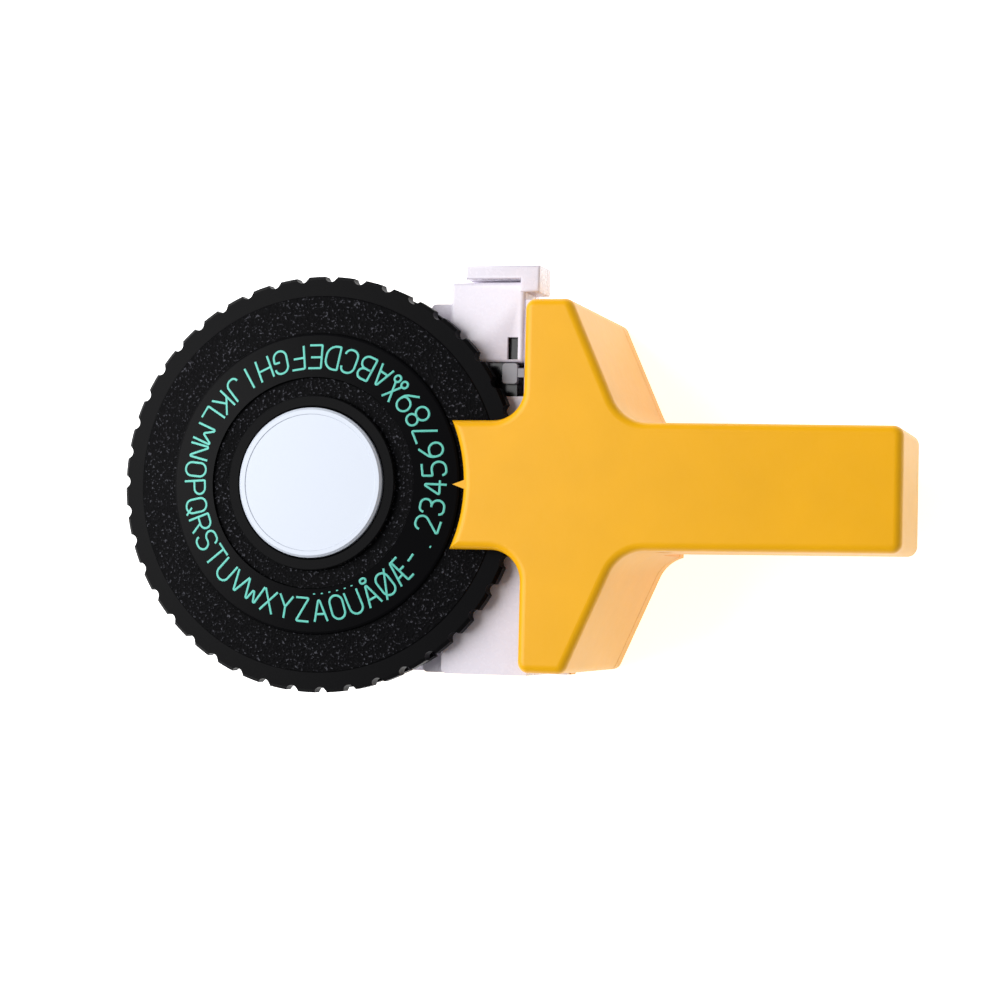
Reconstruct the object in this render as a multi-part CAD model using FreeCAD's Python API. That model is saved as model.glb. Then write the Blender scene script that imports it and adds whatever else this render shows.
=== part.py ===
"""Hand-squeezed embossing label maker with a character wheel.

Millimetres. The origin lies on the surface the label maker rests on, under the
axis of the character wheel. +X runs to the end of the handles, +Y the way the
tape leaves, +Z up.
"""
import FreeCAD, Part
import math
import os

V = FreeCAD.Vector
UP = V(0, 0, 1)
ALONG_X = V(1, 0, 0)

# ---- Overall sizes ---------------------------------------------------------
HEIGHT = 40.0            # resting plane to the flat top of the yellow cover
WHEEL_R = 33.0           # character wheel, over the finger teeth
HANDLE_END_X = 92.3      # wheel axis to the end of the upper handle
SIDE_ROOM = 5.2          # feed roller's axis to the housing's side, which sets the width
TAPE_W = 9.0             # width of the embossing tape

# ---- Clearances ------------------------------------------------------------
SEAM = 0.2               # visible joint line between two mouldings
RUN = 0.05               # radial play of a shaft in its hole
GAP = 0.4                # between pieces that move past each other
WHEEL_GAP = 0.9          # around the edge of the wheel
WING_CLEAR = 1.0         # from the wheel's teeth to the wings
OVERCUT = 1.0            # how far a cutting tool runs past the face it opens

# ---- Top cover -------------------------------------------------------------
WALL = 1.6               # side walls of the yellow mouldings
TOP_PLATE = 1.8          # thickness of the flat top
EDGE_R = 1.3             # rounding of the top edge
TONGUE_HALF = 10.0       # half the width of the tongue over the wheel
TONGUE_SETBACK = 1.0     # its hollow front edge to the raised band's edge
NECK_R = 4.8             # inside corner from the tongue to the wing
WING_DEEP = 7.3          # wing, front to back, at its end
WING_CORNER_R = 1.6
WING_SLOPE = 8.4         # length along X of the sloping back of a wing
SHOULDER_R = 6.0
HANDLE_HALF = 9.8        # half the handle's width at the shoulder
HANDLE_HALF_END = 9.5    # and at its end
HANDLE_DEPTH = 22.0      # upper handle, top to open underside
BODY_TAIL = 2.3          # the deep body goes on this far past the shoulder
HANDLE_CORNER_R = 1.6
POINTER_REACH = 1.6      # index arrow, out from the tongue's front edge
POINTER_HALF = 0.95
POINTER_THICK = 1.1
POINTER_SINK = 0.2       # its face lies this far under the flat top

# ---- Base cover ------------------------------------------------------------
BASE_H = 4.2
BASE_FLOOR = 1.8
BASE_FRONT_X = 6.0
BASE_STEP = 1.0          # the base is this much wider than the wings, each side
BASE_RAKE = 0.3          # share of an inset that its front edge moves back
NOSE_R = 17.0            # round nose under the wheel
BASE_CHAMFER = 0.7
PLAN_CORNER_R = 1.5

# ---- White housing ---------------------------------------------------------
HOUSING_STEP = 0.6       # the housing is this much wider than the wings, each side
HOUSING_MARGIN = 2.0     # from the tape's edge to the housing's front face
SHELF_DEEP = 4.5         # lower step in front of the housing, under the wheel
SHELF_DROP = 0.8         # clear height from the shelf to the wheel
HOUSING_WALL = 1.4
HOUSING_EDGE_R = 0.8
HOUSING_DROP = 0.6       # its deck lies this far under the wheel's rim
DECK = 0.9
DECK_CLEAR = 0.1         # shelf to the space cleared for the wheel
CHASSIS_PLATE = 1.8
DECK_REACH = 2.0         # how far the deck goes in under the rim
POST_R = 7.5
POST_DROP = 2.2          # top of the post below the wheel
RIB = 2.0
RIB_Y = 5.6              # inner faces of the two pivot ribs
RIB_FRONT_X = 3.0
RIB_DROP = 2.6           # top of the ribs below the post's top
BOSS_TOP = 14.0          # top of the two front screw bosses
SHELF_LAP = 0.5          # how far ribs and guide run into the shelf's wall
GUIDE_Z = 18.6           # shelf that guides the hammer
GUIDE_T = 1.8
ARM_WAY_TOP = 18.0       # opening for the lever's arm and the hammer's foot

# ---- Character wheel -------------------------------------------------------
CHARACTERS = 43          # places round the wheel, one tooth each
PITCH = 360.0 / CHARACTERS
NOTCH_DEPTH = 0.9
NOTCH_W = 2.0
RIM_DROP = 3.6           # the flat top of the cover to the top of the rim
RIM_THICK = 2.8
RIM_BEVEL = 0.3
RIM_SHOULDER = 0.5
RIM_BAND = 3.3           # width of the smooth toothed band
BAND_INSET = 9.3         # from the teeth to the raised band's outer edge
BAND_RISE = 1.7          # raised band over the rim, at its outer edge
BAND_INNER_R = 16.7
BAND_CROWN = 0.6         # its inner edge lies this far under the flat top
BAND_STEP = 0.45
HUB_RING_R = 13.75
CAP_R = 11.8
CAP_PROUD = 0.6          # the cap stands over the flat top
CAP_THICK = 1.7
CAP_EDGE = 0.35
CAP_LIP = 0.65           # flat lip round the cap's slightly sunk face
CAP_SINK = 0.1
CAP_RUN = 0.1            # between the cap and the hub ring
DISC_GAP = 2.5           # between the die disc and the punch disc
PUNCH_INSET = 0.6        # the punch disc is this much smaller in radius
PUNCH_THICK = 2.3
FINGER_ROOT_R = 19.0
FINGER_SLIT = 1.6
FINGER_RELIEF = 0.9
HUB_R = 8.0
HUB_SHOULDER = 3.0       # solid ring of the die disc round the hub
SPINDLE_R = 3.0
CLIP_T = 0.8
CLIP_GROOVE = 0.6
CLIP_OVER = 2.0          # the clip stands out this far round the spindle
CLIP_MOUTH = 1.6
DETENT_HALF = 8.0        # half the length of the leaf that clicks in the slits
DETENT_T = 0.25
DETENT_NOSE = 0.9
DETENT_INSET = 0.3       # the leaf is this much lower than the disc, top and bottom
DIE_LONG = 4.4
DIE_WIDE = 2.6
DIE_DEEP = 0.5

# ---- Tape ------------------------------------------------------------------
TAPE_EDGE = 2.0          # from the tape's edge to the wheel's teeth
TAPE_T = 0.25
TAPE_LIFT = 0.55         # underside of the tape over the punch disc
ROLL_R = 10.8            # a part-used roll
ROLL_SIDE = 1.0          # roll to the housing's side wall
ROLL_SKIN = 0.12         # the free tape leaves this far over the roll
CORE_R = 4.6
PEG_R = 3.2

# ---- Lever, hammer and feed ------------------------------------------------
PIVOT_X = 10.5
PIVOT_Z = 9.0
PIVOT_R = 1.5
LEVER_TURN = 9.0         # degrees from rest to fully squeezed
ARM_HALF = 4.0
ARM_H = 6.0
LEVER_SETBACK = 1.7      # wing's front face to the lever's front end
LEVER_TAIL = 2.1         # lever's end to the inside of the upper handle's end
LEVER_BEND = 16.3        # shoulder to where the lever bends up
LEVER_BEND_UP = 4.0
LEVER_FLOOR = 2.0
LEVER_WALL = 1.8
LEVER_FRONT_WALL = 3.4
LEVER_NEST_FRONT = 1.0   # how far the lever reaches up into the upper handle
LEVER_NEST_REAR = 5.5
LEVER_NEST_LENGTH = 8.0
LEVER_NEST_R = 12.0
LEVER_BELLY_R = 60.0
LEVER_TAIL_R = 2.5
LEVER_EDGE_R = 1.0
LEVER_SEAT = 2.5         # peg inside the spring's lower end
HAMMER_R = 2.0
HAMMER_FOOT_R = 3.0
HAMMER_FOOT_T = 1.2
HAMMER_FOOT_LIFT = 0.3   # the stem's end stands out under the foot
HAMMER_WIRE = 0.4
HAMMER_SPRING_R = 2.85
HAMMER_SPRING_TURNS = 3
FEED_ARM_W = 3.0
FEED_ARM_T = 3.0
FEED_ARM_DROP = 1.2      # top of the side arm below the main arm's top
ROLLER_R = 2.0
ROLLER_W = 6.0
ROLLER_CLEAR = 0.77      # roller to the edge of the punch disc
ROLLER_OFFSET = 0.8      # roller's middle from the tape's middle
TAPE_OVER_ROLLER = 0.15
FEED_AXLE_R = 0.75
GEAR_MODULE = 0.4
GEAR_TEETH = 10
GEAR_ROOT = 1.25         # tooth depths, in modules
GEAR_TIP = 0.8
GEAR_EASE = 0.13         # taken off each half tooth
TOOTH_ROOT = 1.5         # half widths of a tooth, as shares of that at the pitch line
TOOTH_TIP = 0.55
TOOTH_LAP = 0.1          # a tooth starts this far inside the body that carries it
RACK_W = 2.6
RACK_T = 1.8
RACK_OVER = 3.2          # rack over the pinion's axis at rest
RACK_GUIDE_LONG = 12.0
BRACKET_T = 1.2
BRACKET_HALF = 2.4
RETURN_SPRING = 12.3     # shoulder to the spring's axis
RETURN_SPRING_R = 3.6
RETURN_SPRING_TURNS = 10
SPRING_WIRE = 0.8
SPRING_EASE = 0.1        # between a spring's end and its seat
SPRING_PAD = 0.9         # flat pad under the spring, on the lever's curved floor
SEAT_LONG = 5.2          # peg inside the spring's top end

# ---- Exit chute and cutter -------------------------------------------------
CHUTE_LONG = 12.6
CHUTE_DROP = 0.5         # its top under the wheel's rim
CHUTE_DEEP = 8.6
CHUTE_EDGE_R = 0.6
CHUTE_REAR = 0.1         # between the chute and the housing's rear wall
LIP_INSET = 2.4          # the lip starts this far in from the chute's side
LIP_REACH = 2.3          # and ends this far past its other side
LIP_T = 2.1
LIP_SLOT = 0.5           # open slot between the chute and its lip
LIP_H = 7.0
LIP_PROUD = 0.3
LIP_FOOT = 2.0
LIP_EDGE_R = 0.4
LIP_LAP = 0.8            # how far the lip's web runs into the chute
LIP_HOOK = 1.6
WINDOW_W = 1.7
WINDOW_LONG = 3.5
WINDOW_MARGIN = 1.0
LUG_LONG = 3.4
LUG_W = 2.4
LUG_EDGE_R = 0.5
LUG_EASE = 0.1           # lug over the tape
LUG_STEM = 1.4
CUTTER_CLEAR = 1.75      # blade to the edge of the punch disc
CUTTER_BACK = 6.3        # blade to the chute's mouth
BLADE_T = 0.4
BLADE_H = 6.8
BLADE_SKEW = 0.6
BLADE_WAY = 0.4          # slot at each side of the tape
CUTTER_TRAVEL = 1.1
SLIDER_T = 2.1
SLIDER_H = 5.0

# ---- Fasteners and door ----------------------------------------------------
SCREW_R = 1.1
SCREW_LONG = 11.1
SCREW_SINK = 0.4         # head below the base cover's underside
SCREW_HEAD_R = 2.3
SCREW_HEAD_H = 1.4
SCREW_ROOM = 0.1
BOSS_WALL = 1.2
RECESS_HALF = 1.4
RECESS_W = 0.3
RECESS_DEEP = 0.9
FRONT_SCREW_BACK = 2.5   # front screws to the shelf's front face
FRONT_SCREW_Y = 21.5
REAR_SCREW_BACK = 2.9    # rear screws past the wing's rear corner
REAR_SCREW_SIDE = 3.6    # and out from the handle's side
STOP_PIN_BACK = 4.9      # stop pin past the shoulder
STOP_PIN_DROP = 10.6     # and below the flat top
STOP_PIN_R = 1.4
STOP_PIN_SINK = 0.3
DOOR_MARGIN_FRONT = 1.2
DOOR_MARGIN_REAR = 2.0
DOOR_HEADER = 3.5        # housing left over the door
DOOR_T = 1.2
DOOR_HINGE_Z = 6.6
HINGE_PIN_R = 0.6
HINGE_PIN_OVER = 1.4
BARREL_R = 1.2
BARREL_ROOM = 0.3
PULL_HALF = 3.0          # finger groove at the door's top
PULL_DROP = 2.4
PULL_W = 1.0
PULL_DEEP = 0.5

# ---- Worked out from the sizes above ---------------------------------------
COVER_BOTTOM = BASE_H + SEAM
PLATE_TOP = COVER_BOTTOM + CHASSIS_PLATE
RIM_TOP = HEIGHT - RIM_DROP
RIM_BOTTOM = RIM_TOP - RIM_THICK
PUNCH_TOP = RIM_BOTTOM - DISC_GAP
PUNCH_BOTTOM = PUNCH_TOP - PUNCH_THICK
POST_TOP = PUNCH_BOTTOM - POST_DROP
HUB_BOTTOM = POST_TOP + GAP
CAP_TOP = HEIGHT + CAP_PROUD
CAP_BOTTOM = CAP_TOP - CAP_THICK
SHELF_TOP = PUNCH_BOTTOM - SHELF_DROP
HOUSING_TOP = RIM_BOTTOM - HOUSING_DROP
RIB_TOP = POST_TOP - RIB_DROP

RIM_BAND_R = WHEEL_R - RIM_BAND
BAND_OUTER_R = WHEEL_R - BAND_INSET
TONGUE_FRONT_R = BAND_OUTER_R + TONGUE_SETBACK
POINTER_TIP_R = TONGUE_FRONT_R - POINTER_REACH
PUNCH_R = WHEEL_R - PUNCH_INSET
DIE_R = WHEEL_R - TAPE_EDGE - TAPE_W / 2     # circle the dies and punches stand on

TAPE_X = DIE_R           # the tape lies under the dies at the index arrow
TAPE_X0 = TAPE_X - TAPE_W / 2
TAPE_X1 = TAPE_X + TAPE_W / 2
TAPE_Z = PUNCH_TOP + TAPE_LIFT
TAPE_TOP = TAPE_Z + TAPE_T

WING_FRONT_X = WHEEL_R + WING_CLEAR
WING_REAR_X = WING_FRONT_X + WING_DEEP
SHOULDER_X = WING_REAR_X + WING_SLOPE        # where the slope would meet the handle
HANDLE_UNDER_X = SHOULDER_X + BODY_TAIL
HANDLE_UNDER_Z = HEIGHT - HANDLE_DEPTH
HOUSING_FRONT_X = TAPE_X0 - HOUSING_MARGIN
HOUSING_REAR_X = WING_FRONT_X - SEAM
SHELF_FRONT_X = HOUSING_FRONT_X - SHELF_DEEP

ROLLER_X0 = TAPE_X - ROLLER_W / 2 + ROLLER_OFFSET
ROLLER_Y = -(math.sqrt(PUNCH_R ** 2 - ROLLER_X0 ** 2) + ROLLER_CLEAR + ROLLER_R)
ROLLER_Z = TAPE_Z - TAPE_OVER_ROLLER - ROLLER_R
BODY_HALF = SIDE_ROOM - ROLLER_Y
WING_HALF = BODY_HALF - HOUSING_STEP
BASE_HALF = WING_HALF + BASE_STEP
ROLL_Y = -(BODY_HALF - HOUSING_WALL - ROLL_SIDE - ROLL_R)
ROLL_Z = PLATE_TOP + GAP + ROLL_R

LEVER_HALF = HANDLE_HALF_END - WALL - GAP    # the lower handle nests in the upper one
LEVER_BOTTOM = BASE_FLOOR + GAP
LEVER_FRONT_X = WING_FRONT_X + LEVER_SETBACK
LEVER_END_X = HANDLE_END_X - WALL - LEVER_TAIL
LEVER_BEND_X = SHOULDER_X + LEVER_BEND
LEVER_TOP_FRONT = HANDLE_UNDER_Z + LEVER_NEST_FRONT
LEVER_TOP_REAR = HANDLE_UNDER_Z + LEVER_NEST_REAR
LEVER_WAY = LEVER_HALF + GAP
ARM_TOP = PIVOT_Z + ARM_H / 2
ARM_WAY = ARM_HALF + GAP
HAMMER_X = TAPE_X
HAMMER_RISE = (HAMMER_X - PIVOT_X) * math.sin(math.radians(LEVER_TURN))
HAMMER_TOP = PUNCH_BOTTOM - GAP - HAMMER_RISE
HAMMER_FOOT = ARM_TOP + GAP
FEED_ARM_X = LEVER_FRONT_X
RACK_X = FEED_ARM_X + FEED_ARM_W / 2
GEAR_R = GEAR_MODULE * GEAR_TEETH / 2
GEAR_ROOT_R = GEAR_R - GEAR_MODULE * GEAR_ROOT
TOOTH_HALF = GEAR_MODULE * math.pi / 4 - GEAR_EASE
RACK_PITCH_Y = ROLLER_Y + GEAR_R
RACK_BACK_Y = RACK_PITCH_Y + GEAR_MODULE * GEAR_ROOT
BRACKET_X = RACK_X + RACK_W / 2 + GAP
RETURN_SPRING_X = SHOULDER_X + RETURN_SPRING
SPRING_PAD_Z = LEVER_BOTTOM + LEVER_FLOOR + SPRING_PAD
TOP_INSIDE = HEIGHT - TOP_PLATE

CHUTE_X0 = HOUSING_FRONT_X + SEAM
CHUTE_X1 = HOUSING_REAR_X - HOUSING_WALL - CHUTE_REAR
CUTTER_Y = math.sqrt(PUNCH_R ** 2 - (TAPE_X0 - BLADE_WAY) ** 2) + CUTTER_CLEAR
CHUTE_Y1 = CUTTER_Y + CUTTER_BACK
CHUTE_Y0 = CHUTE_Y1 - CHUTE_LONG
CHUTE_TOP = RIM_BOTTOM - CHUTE_DROP
CHUTE_BOTTOM = CHUTE_TOP - CHUTE_DEEP
LIP_X0 = CHUTE_X0 + LIP_INSET
LIP_X1 = CHUTE_X1 + LIP_REACH
LIP_Y0 = CHUTE_Y1 + LIP_SLOT
LIP_TOP = CHUTE_TOP + LIP_PROUD
LIP_LOW = LIP_TOP - LIP_H
WINDOW_X1 = CHUTE_X1 - WINDOW_MARGIN
LUG_Y0 = CHUTE_Y0 - LUG_LONG

FRONT_SCREW_X = SHELF_FRONT_X - FRONT_SCREW_BACK
REAR_SCREW_X = WING_REAR_X + REAR_SCREW_BACK
REAR_SCREW_Y = HANDLE_HALF + REAR_SCREW_SIDE
FRONT_SCREWS = ((FRONT_SCREW_X, FRONT_SCREW_Y), (FRONT_SCREW_X, -FRONT_SCREW_Y))
REAR_SCREWS = ((REAR_SCREW_X, REAR_SCREW_Y), (REAR_SCREW_X, -REAR_SCREW_Y))
SCREW_SPOTS = FRONT_SCREWS + REAR_SCREWS
STOP_PIN_X = SHOULDER_X + STOP_PIN_BACK
STOP_PIN_Z = HEIGHT - STOP_PIN_DROP
DOOR_X0 = HOUSING_FRONT_X + DOOR_MARGIN_FRONT
DOOR_X1 = HOUSING_REAR_X - DOOR_MARGIN_REAR
DOOR_TOP = HOUSING_TOP - DOOR_HEADER
HINGE_Y = -BODY_HALF + BARREL_R


# ---- Solids ----------------------------------------------------------------
def block(x0, x1, y0, y1, z0, z1):
    return Part.makeBox(x1 - x0, y1 - y0, z1 - z0, V(x0, y0, z0))


def rod(radius, start, end):
    axis = end - start
    return Part.makeCylinder(radius, axis.Length, start, axis)


def drum(radius, z0, z1, x=0.0, y=0.0):
    return rod(radius, V(x, y, z0), V(x, y, z1))


def joined(first, *others):
    return first.fuse(list(others)).removeSplitter()


def rounded_wire(corners):
    """Closed wire through (point, radius) corners, each rounded by an arc."""
    starts, ends, middles = [], [], []
    count = len(corners)
    for i, (point, radius) in enumerate(corners):
        back = (corners[i - 1][0] - point).normalize()
        ahead = (corners[(i + 1) % count][0] - point).normalize()
        if radius <= 0:
            starts.append(point)
            ends.append(point)
            middles.append(None)
            continue
        half = back.getAngle(ahead) / 2
        reach = radius / math.tan(half)
        inward = (back + ahead).normalize()
        centre = point + inward * (radius / math.sin(half))
        starts.append(point + back * reach)
        ends.append(point + ahead * reach)
        middles.append(centre - inward * radius)
    edges = []
    for i in range(count):
        if middles[i] is not None:
            edges.append(Part.Arc(starts[i], middles[i], ends[i]).toShape())
        following = starts[(i + 1) % count]
        if ends[i].distanceToPoint(following) > 1e-6:
            edges.append(Part.LineSegment(ends[i], following).toShape())
    return Part.Wire(edges)


def mirrored(half):
    """Corners of the +Y half of a plan, then the same ones on the -Y side."""
    other = [(V(p.x, -p.y, p.z), radius) for p, radius in reversed(half)]
    return half + other


def prism(corners, direction):
    return Part.Face(rounded_wire(corners)).extrude(direction)


def plan_prism(half, z0, z1):
    """Upright prism on a plan that is the same on both sides of the XZ plane."""
    flat = [(V(x, y, z0), radius) for x, y, radius in half]
    return prism(mirrored(flat), V(0, 0, z1 - z0))


def turned(profile):
    """Solid of revolution about Z from (radius, z) points."""
    points = [V(r, 0, z) for r, z in profile]
    return Part.Face(Part.makePolygon(points + points[:1])).revolve(V(0, 0, 0), UP, 360)


def around_wheel(shape, angle):
    copy = shape.copy()
    copy.rotate(V(0, 0, 0), UP, angle)
    return copy


def edges_at_height(shape, z):
    return [e for e in shape.Edges
            if all(abs(v.Z - z) < 1e-6 for v in e.Vertexes)
            and abs(e.BoundBox.ZLength) < 1e-6]


def coil(radius, wire, z0, z1, turns, x, y):
    """Compression spring between two heights, its wire inside them."""
    low = z0 + wire / 2
    rise = (z1 - z0 - wire) / turns
    helix = Part.makeHelix(rise, rise * turns, radius)
    ahead = V(0, 1, rise / (2 * math.pi * radius))
    section = Part.Wire(Part.makeCircle(wire / 2, V(radius, 0, 0), ahead))
    spring = Part.Wire(helix).makePipeShell([section], True, True)
    spring.translate(V(x, y, low))
    return spring


# ---- Casings ---------------------------------------------------------------
def cover_plan(inset):
    """Plan of the wings and handle, drawn in by an inset on every side."""
    slope = math.hypot(SHOULDER_X - WING_REAR_X, WING_HALF - HANDLE_HALF)
    lean = (WING_HALF - HANDLE_HALF) / slope
    along = (SHOULDER_X - WING_REAR_X) / slope
    rear_x = WING_REAR_X - inset * (1 - along) / lean
    shoulder_x = SHOULDER_X - inset * (1 - along) / lean
    return [
        (WING_FRONT_X, WING_HALF - inset, max(WING_CORNER_R - inset, 0)),
        (rear_x, WING_HALF - inset, max(WING_CORNER_R - inset, 0.3)),
        (shoulder_x, HANDLE_HALF - inset, SHOULDER_R + inset),
        (HANDLE_END_X - inset, HANDLE_HALF_END - inset, max(HANDLE_CORNER_R - inset, 0.4)),
    ]


def pointer():
    tip = V(POINTER_TIP_R, 0, HEIGHT - POINTER_THICK)
    base_x = TONGUE_FRONT_R + TONGUE_SETBACK
    left = V(base_x, -POINTER_HALF, tip.z)
    right = V(base_x, POINTER_HALF, tip.z)
    return Part.Face(Part.makePolygon([tip, left, right, tip])).extrude(V(0, 0, POINTER_THICK - POINTER_SINK))


def top_cover():
    wing = cover_plan(0)
    tongue = [(0.0, TONGUE_HALF, 0), (WING_FRONT_X, TONGUE_HALF, NECK_R)]
    cover = plan_prism(tongue + wing, COVER_BOTTOM, HEIGHT)
    cover = cover.cut(drum(TONGUE_FRONT_R, 0, HEIGHT + OVERCUT))
    cover = cover.cut(block(0, WING_FRONT_X, -WING_HALF, WING_HALF, 0, TOP_INSIDE))
    cover = cover.cut(block(HANDLE_UNDER_X, HANDLE_END_X + OVERCUT, -WING_HALF, WING_HALF, 0, HANDLE_UNDER_Z))
    cover = cover.makeFillet(EDGE_R, edges_at_height(cover, HEIGHT))
    cover = cover.cut(plan_prism(cover_plan(WALL), 0, TOP_INSIDE))
    cover = cover.cut(block(WING_REAR_X, HANDLE_UNDER_X + OVERCUT, -LEVER_WAY, LEVER_WAY, 0, HANDLE_UNDER_Z))
    for x, y in REAR_SCREWS:
        cover = cover.fuse(drum(SCREW_HEAD_R + SEAM, COVER_BOTTOM, TOP_INSIDE, x, y))
    seat = drum(RETURN_SPRING_R - SPRING_WIRE, TOP_INSIDE - SEAT_LONG, TOP_INSIDE, RETURN_SPRING_X)
    cover = joined(cover, seat, pointer())
    for x, y in REAR_SCREWS:
        cover = cover.cut(drum(SCREW_R, 0, SCREW_SINK + SCREW_LONG + OVERCUT, x, y))
    hole = V(STOP_PIN_X, -WING_HALF, STOP_PIN_Z)
    return cover.cut(rod(STOP_PIN_R, hole, hole + V(0, 2 * WING_HALF, 0)))


def nose_touch(radius, x, y):
    """Where a straight side from (x, y) meets the round nose smoothly."""
    angle = math.atan2(y, x) + math.acos(radius / math.hypot(x, y))
    return radius * math.cos(angle), radius * math.sin(angle)


def base_outline(inset, z0, z1):
    """The base cover's plan: a nose under the wheel, widening to the wings."""
    front_x = BASE_FRONT_X + inset * BASE_RAKE
    front_y = BASE_HALF - inset
    touch_x, touch_y = nose_touch(NOSE_R - inset, front_x, front_y)
    front = [(touch_x, touch_y, 0), (front_x, front_y, PLAN_CORNER_R),
             (WING_FRONT_X, front_y, 0), (WING_FRONT_X, WING_HALF - inset, 0)]
    outline = plan_prism(front + cover_plan(inset)[1:], z0, z1)
    rear = block(HANDLE_UNDER_X - inset, HANDLE_END_X + OVERCUT, -WING_HALF, WING_HALF,
                 z0 - OVERCUT, z1 + OVERCUT)
    return joined(outline.cut(rear), drum(NOSE_R - inset, z0, z1))


def base_cover():
    base = base_outline(0, 0, BASE_H)
    base = base.makeChamfer(BASE_CHAMFER, edges_at_height(base, 0))
    base = base.cut(base_outline(WALL, BASE_FLOOR, BASE_H + OVERCUT))
    base = base.cut(block(WING_REAR_X, HANDLE_UNDER_X + OVERCUT, -LEVER_WAY, LEVER_WAY,
                          BASE_FLOOR, BASE_H + OVERCUT))
    for x, y in SCREW_SPOTS:
        base = base.fuse(drum(SCREW_HEAD_R + BOSS_WALL, BASE_FLOOR, BASE_H, x, y))
    for x, y in SCREW_SPOTS:
        base = base.cut(drum(SCREW_R, 0, BASE_H + OVERCUT, x, y))
        base = base.cut(drum(SCREW_HEAD_R + SCREW_ROOM, -OVERCUT, SCREW_SINK + SCREW_HEAD_H, x, y))
    return base.removeSplitter()


# ---- White housing and what it holds ---------------------------------------
def wheel_room():
    """Space swept by the two discs of the wheel, with its clearance."""
    under = drum(PUNCH_R + WHEEL_GAP, SHELF_TOP + DECK_CLEAR, TAPE_Z)
    return under.fuse(drum(PUNCH_R - DECK_REACH, PUNCH_TOP, HEIGHT))


def housing_profile(inset, y):
    """Side view of the housing with its lower shelf, drawn in by an inset."""
    floor_z = PLATE_TOP if inset else COVER_BOTTOM
    top = HOUSING_TOP - (DECK if inset else 0)
    return [(V(x, y, z), 0) for x, z in (
        (SHELF_FRONT_X + inset, floor_z), (HOUSING_REAR_X - inset, floor_z),
        (HOUSING_REAR_X - inset, top), (HOUSING_FRONT_X + inset, top),
        (HOUSING_FRONT_X + inset, SHELF_TOP - inset), (SHELF_FRONT_X + inset, SHELF_TOP - inset))]


def housing_shell():
    shell = prism(housing_profile(0, -BODY_HALF), V(0, 2 * BODY_HALF, 0))
    upright = [e for e in shell.Edges
               if e.BoundBox.ZLength > OVERCUT and e.BoundBox.XMin < HOUSING_FRONT_X + SEAM]
    shell = shell.makeFillet(HOUSING_EDGE_R, upright)
    half = BODY_HALF - HOUSING_WALL
    return shell.cut(prism(housing_profile(HOUSING_WALL, -half), V(0, 2 * half, 0)))


def chassis():
    plate = base_outline(0, COVER_BOTTOM, PLATE_TOP)
    plate = plate.cut(block(HOUSING_REAR_X, HANDLE_END_X, -BASE_HALF, BASE_HALF, 0, HEIGHT))
    body = joined(housing_shell(), plate, *chassis_supports())
    body = body.cut(wheel_room()).cut(exit_room()).cut(detent_pocket())
    body = body.cut(block(SHELF_FRONT_X - OVERCUT, HOUSING_REAR_X + OVERCUT, -ARM_WAY, ARM_WAY,
                          COVER_BOTTOM - OVERCUT, ARM_WAY_TOP))
    body = body.cut(block(SPINDLE_R + RIB, SHELF_FRONT_X, -ARM_WAY, ARM_WAY,
                          COVER_BOTTOM + SHELF_LAP, BOSS_TOP))
    body = body.cut(drum(SPINDLE_R, 0, HEIGHT))
    body = body.cut(drum(HAMMER_R + RUN, GUIDE_Z - OVERCUT, GUIDE_Z + GUIDE_T + OVERCUT, HAMMER_X, 0))
    body = body.cut(rod(PIVOT_R, V(PIVOT_X, -BODY_HALF, PIVOT_Z), V(PIVOT_X, BODY_HALF, PIVOT_Z)))
    body = body.cut(feed_axle_hole())
    for x, y in FRONT_SCREWS:
        body = body.cut(drum(SCREW_R, 0, SCREW_SINK + SCREW_LONG + OVERCUT, x, y))
    return body.cut(door_room()).removeSplitter()


def chassis_supports():
    """Post, ribs, bosses, guide, peg and bracket that stand in the chassis."""
    ribs = [block(RIB_FRONT_X, SHELF_FRONT_X + SHELF_LAP, y, y + RIB, COVER_BOTTOM, RIB_TOP)
            for y in (RIB_Y, -RIB_Y - RIB)]
    bosses = [drum(SCREW_HEAD_R + SEAM, COVER_BOTTOM, BOSS_TOP, x, y) for x, y in FRONT_SCREWS]
    rear_x = HOUSING_REAR_X - HOUSING_WALL / 2
    guide = block(SHELF_FRONT_X + SHELF_LAP, rear_x, -ARM_WAY, BODY_HALF - HOUSING_WALL / 2,
                  GUIDE_Z, GUIDE_Z + GUIDE_T)
    peg = rod(PEG_R, V(TAPE_X0 - SEAM, ROLL_Y, ROLL_Z), V(rear_x, ROLL_Y, ROLL_Z))
    post = drum(POST_R, COVER_BOTTOM, POST_TOP)
    return [post, *ribs, *bosses, guide, peg, axle_bracket(), rack_guide()]


def axle_bracket():
    """Plate that carries the outer end of the feed axle, and its strut."""
    x1 = BRACKET_X + BRACKET_T
    arm_y = ROLLER_Y - BRACKET_HALF
    low, high = ROLLER_Z - BRACKET_HALF, ROLLER_Z + BRACKET_HALF
    plate = block(BRACKET_X, x1, arm_y, ROLLER_Y + BRACKET_HALF - BRACKET_T / 2, low, high)
    strut = block(HOUSING_REAR_X - SHELF_LAP, x1, arm_y, arm_y + BRACKET_T / 2, low, high)
    gear_room = rod(GEAR_R + GEAR_MODULE + SEAM, V(HOUSING_REAR_X + RUN, ROLLER_Y, ROLLER_Z),
                    V(BRACKET_X, ROLLER_Y, ROLLER_Z))
    return joined(plate, strut).cut(gear_room)


def rack_guide():
    """Cheek on the housing's rear wall that keeps the feed rack upright."""
    cheek_y = RACK_BACK_Y + RACK_T + SPRING_EASE
    return block(HOUSING_REAR_X - SHELF_LAP, BRACKET_X, cheek_y, cheek_y + BRACKET_T,
                 ROLLER_Z - RACK_GUIDE_LONG, ROLLER_Z + ROLLER_R)


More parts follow.
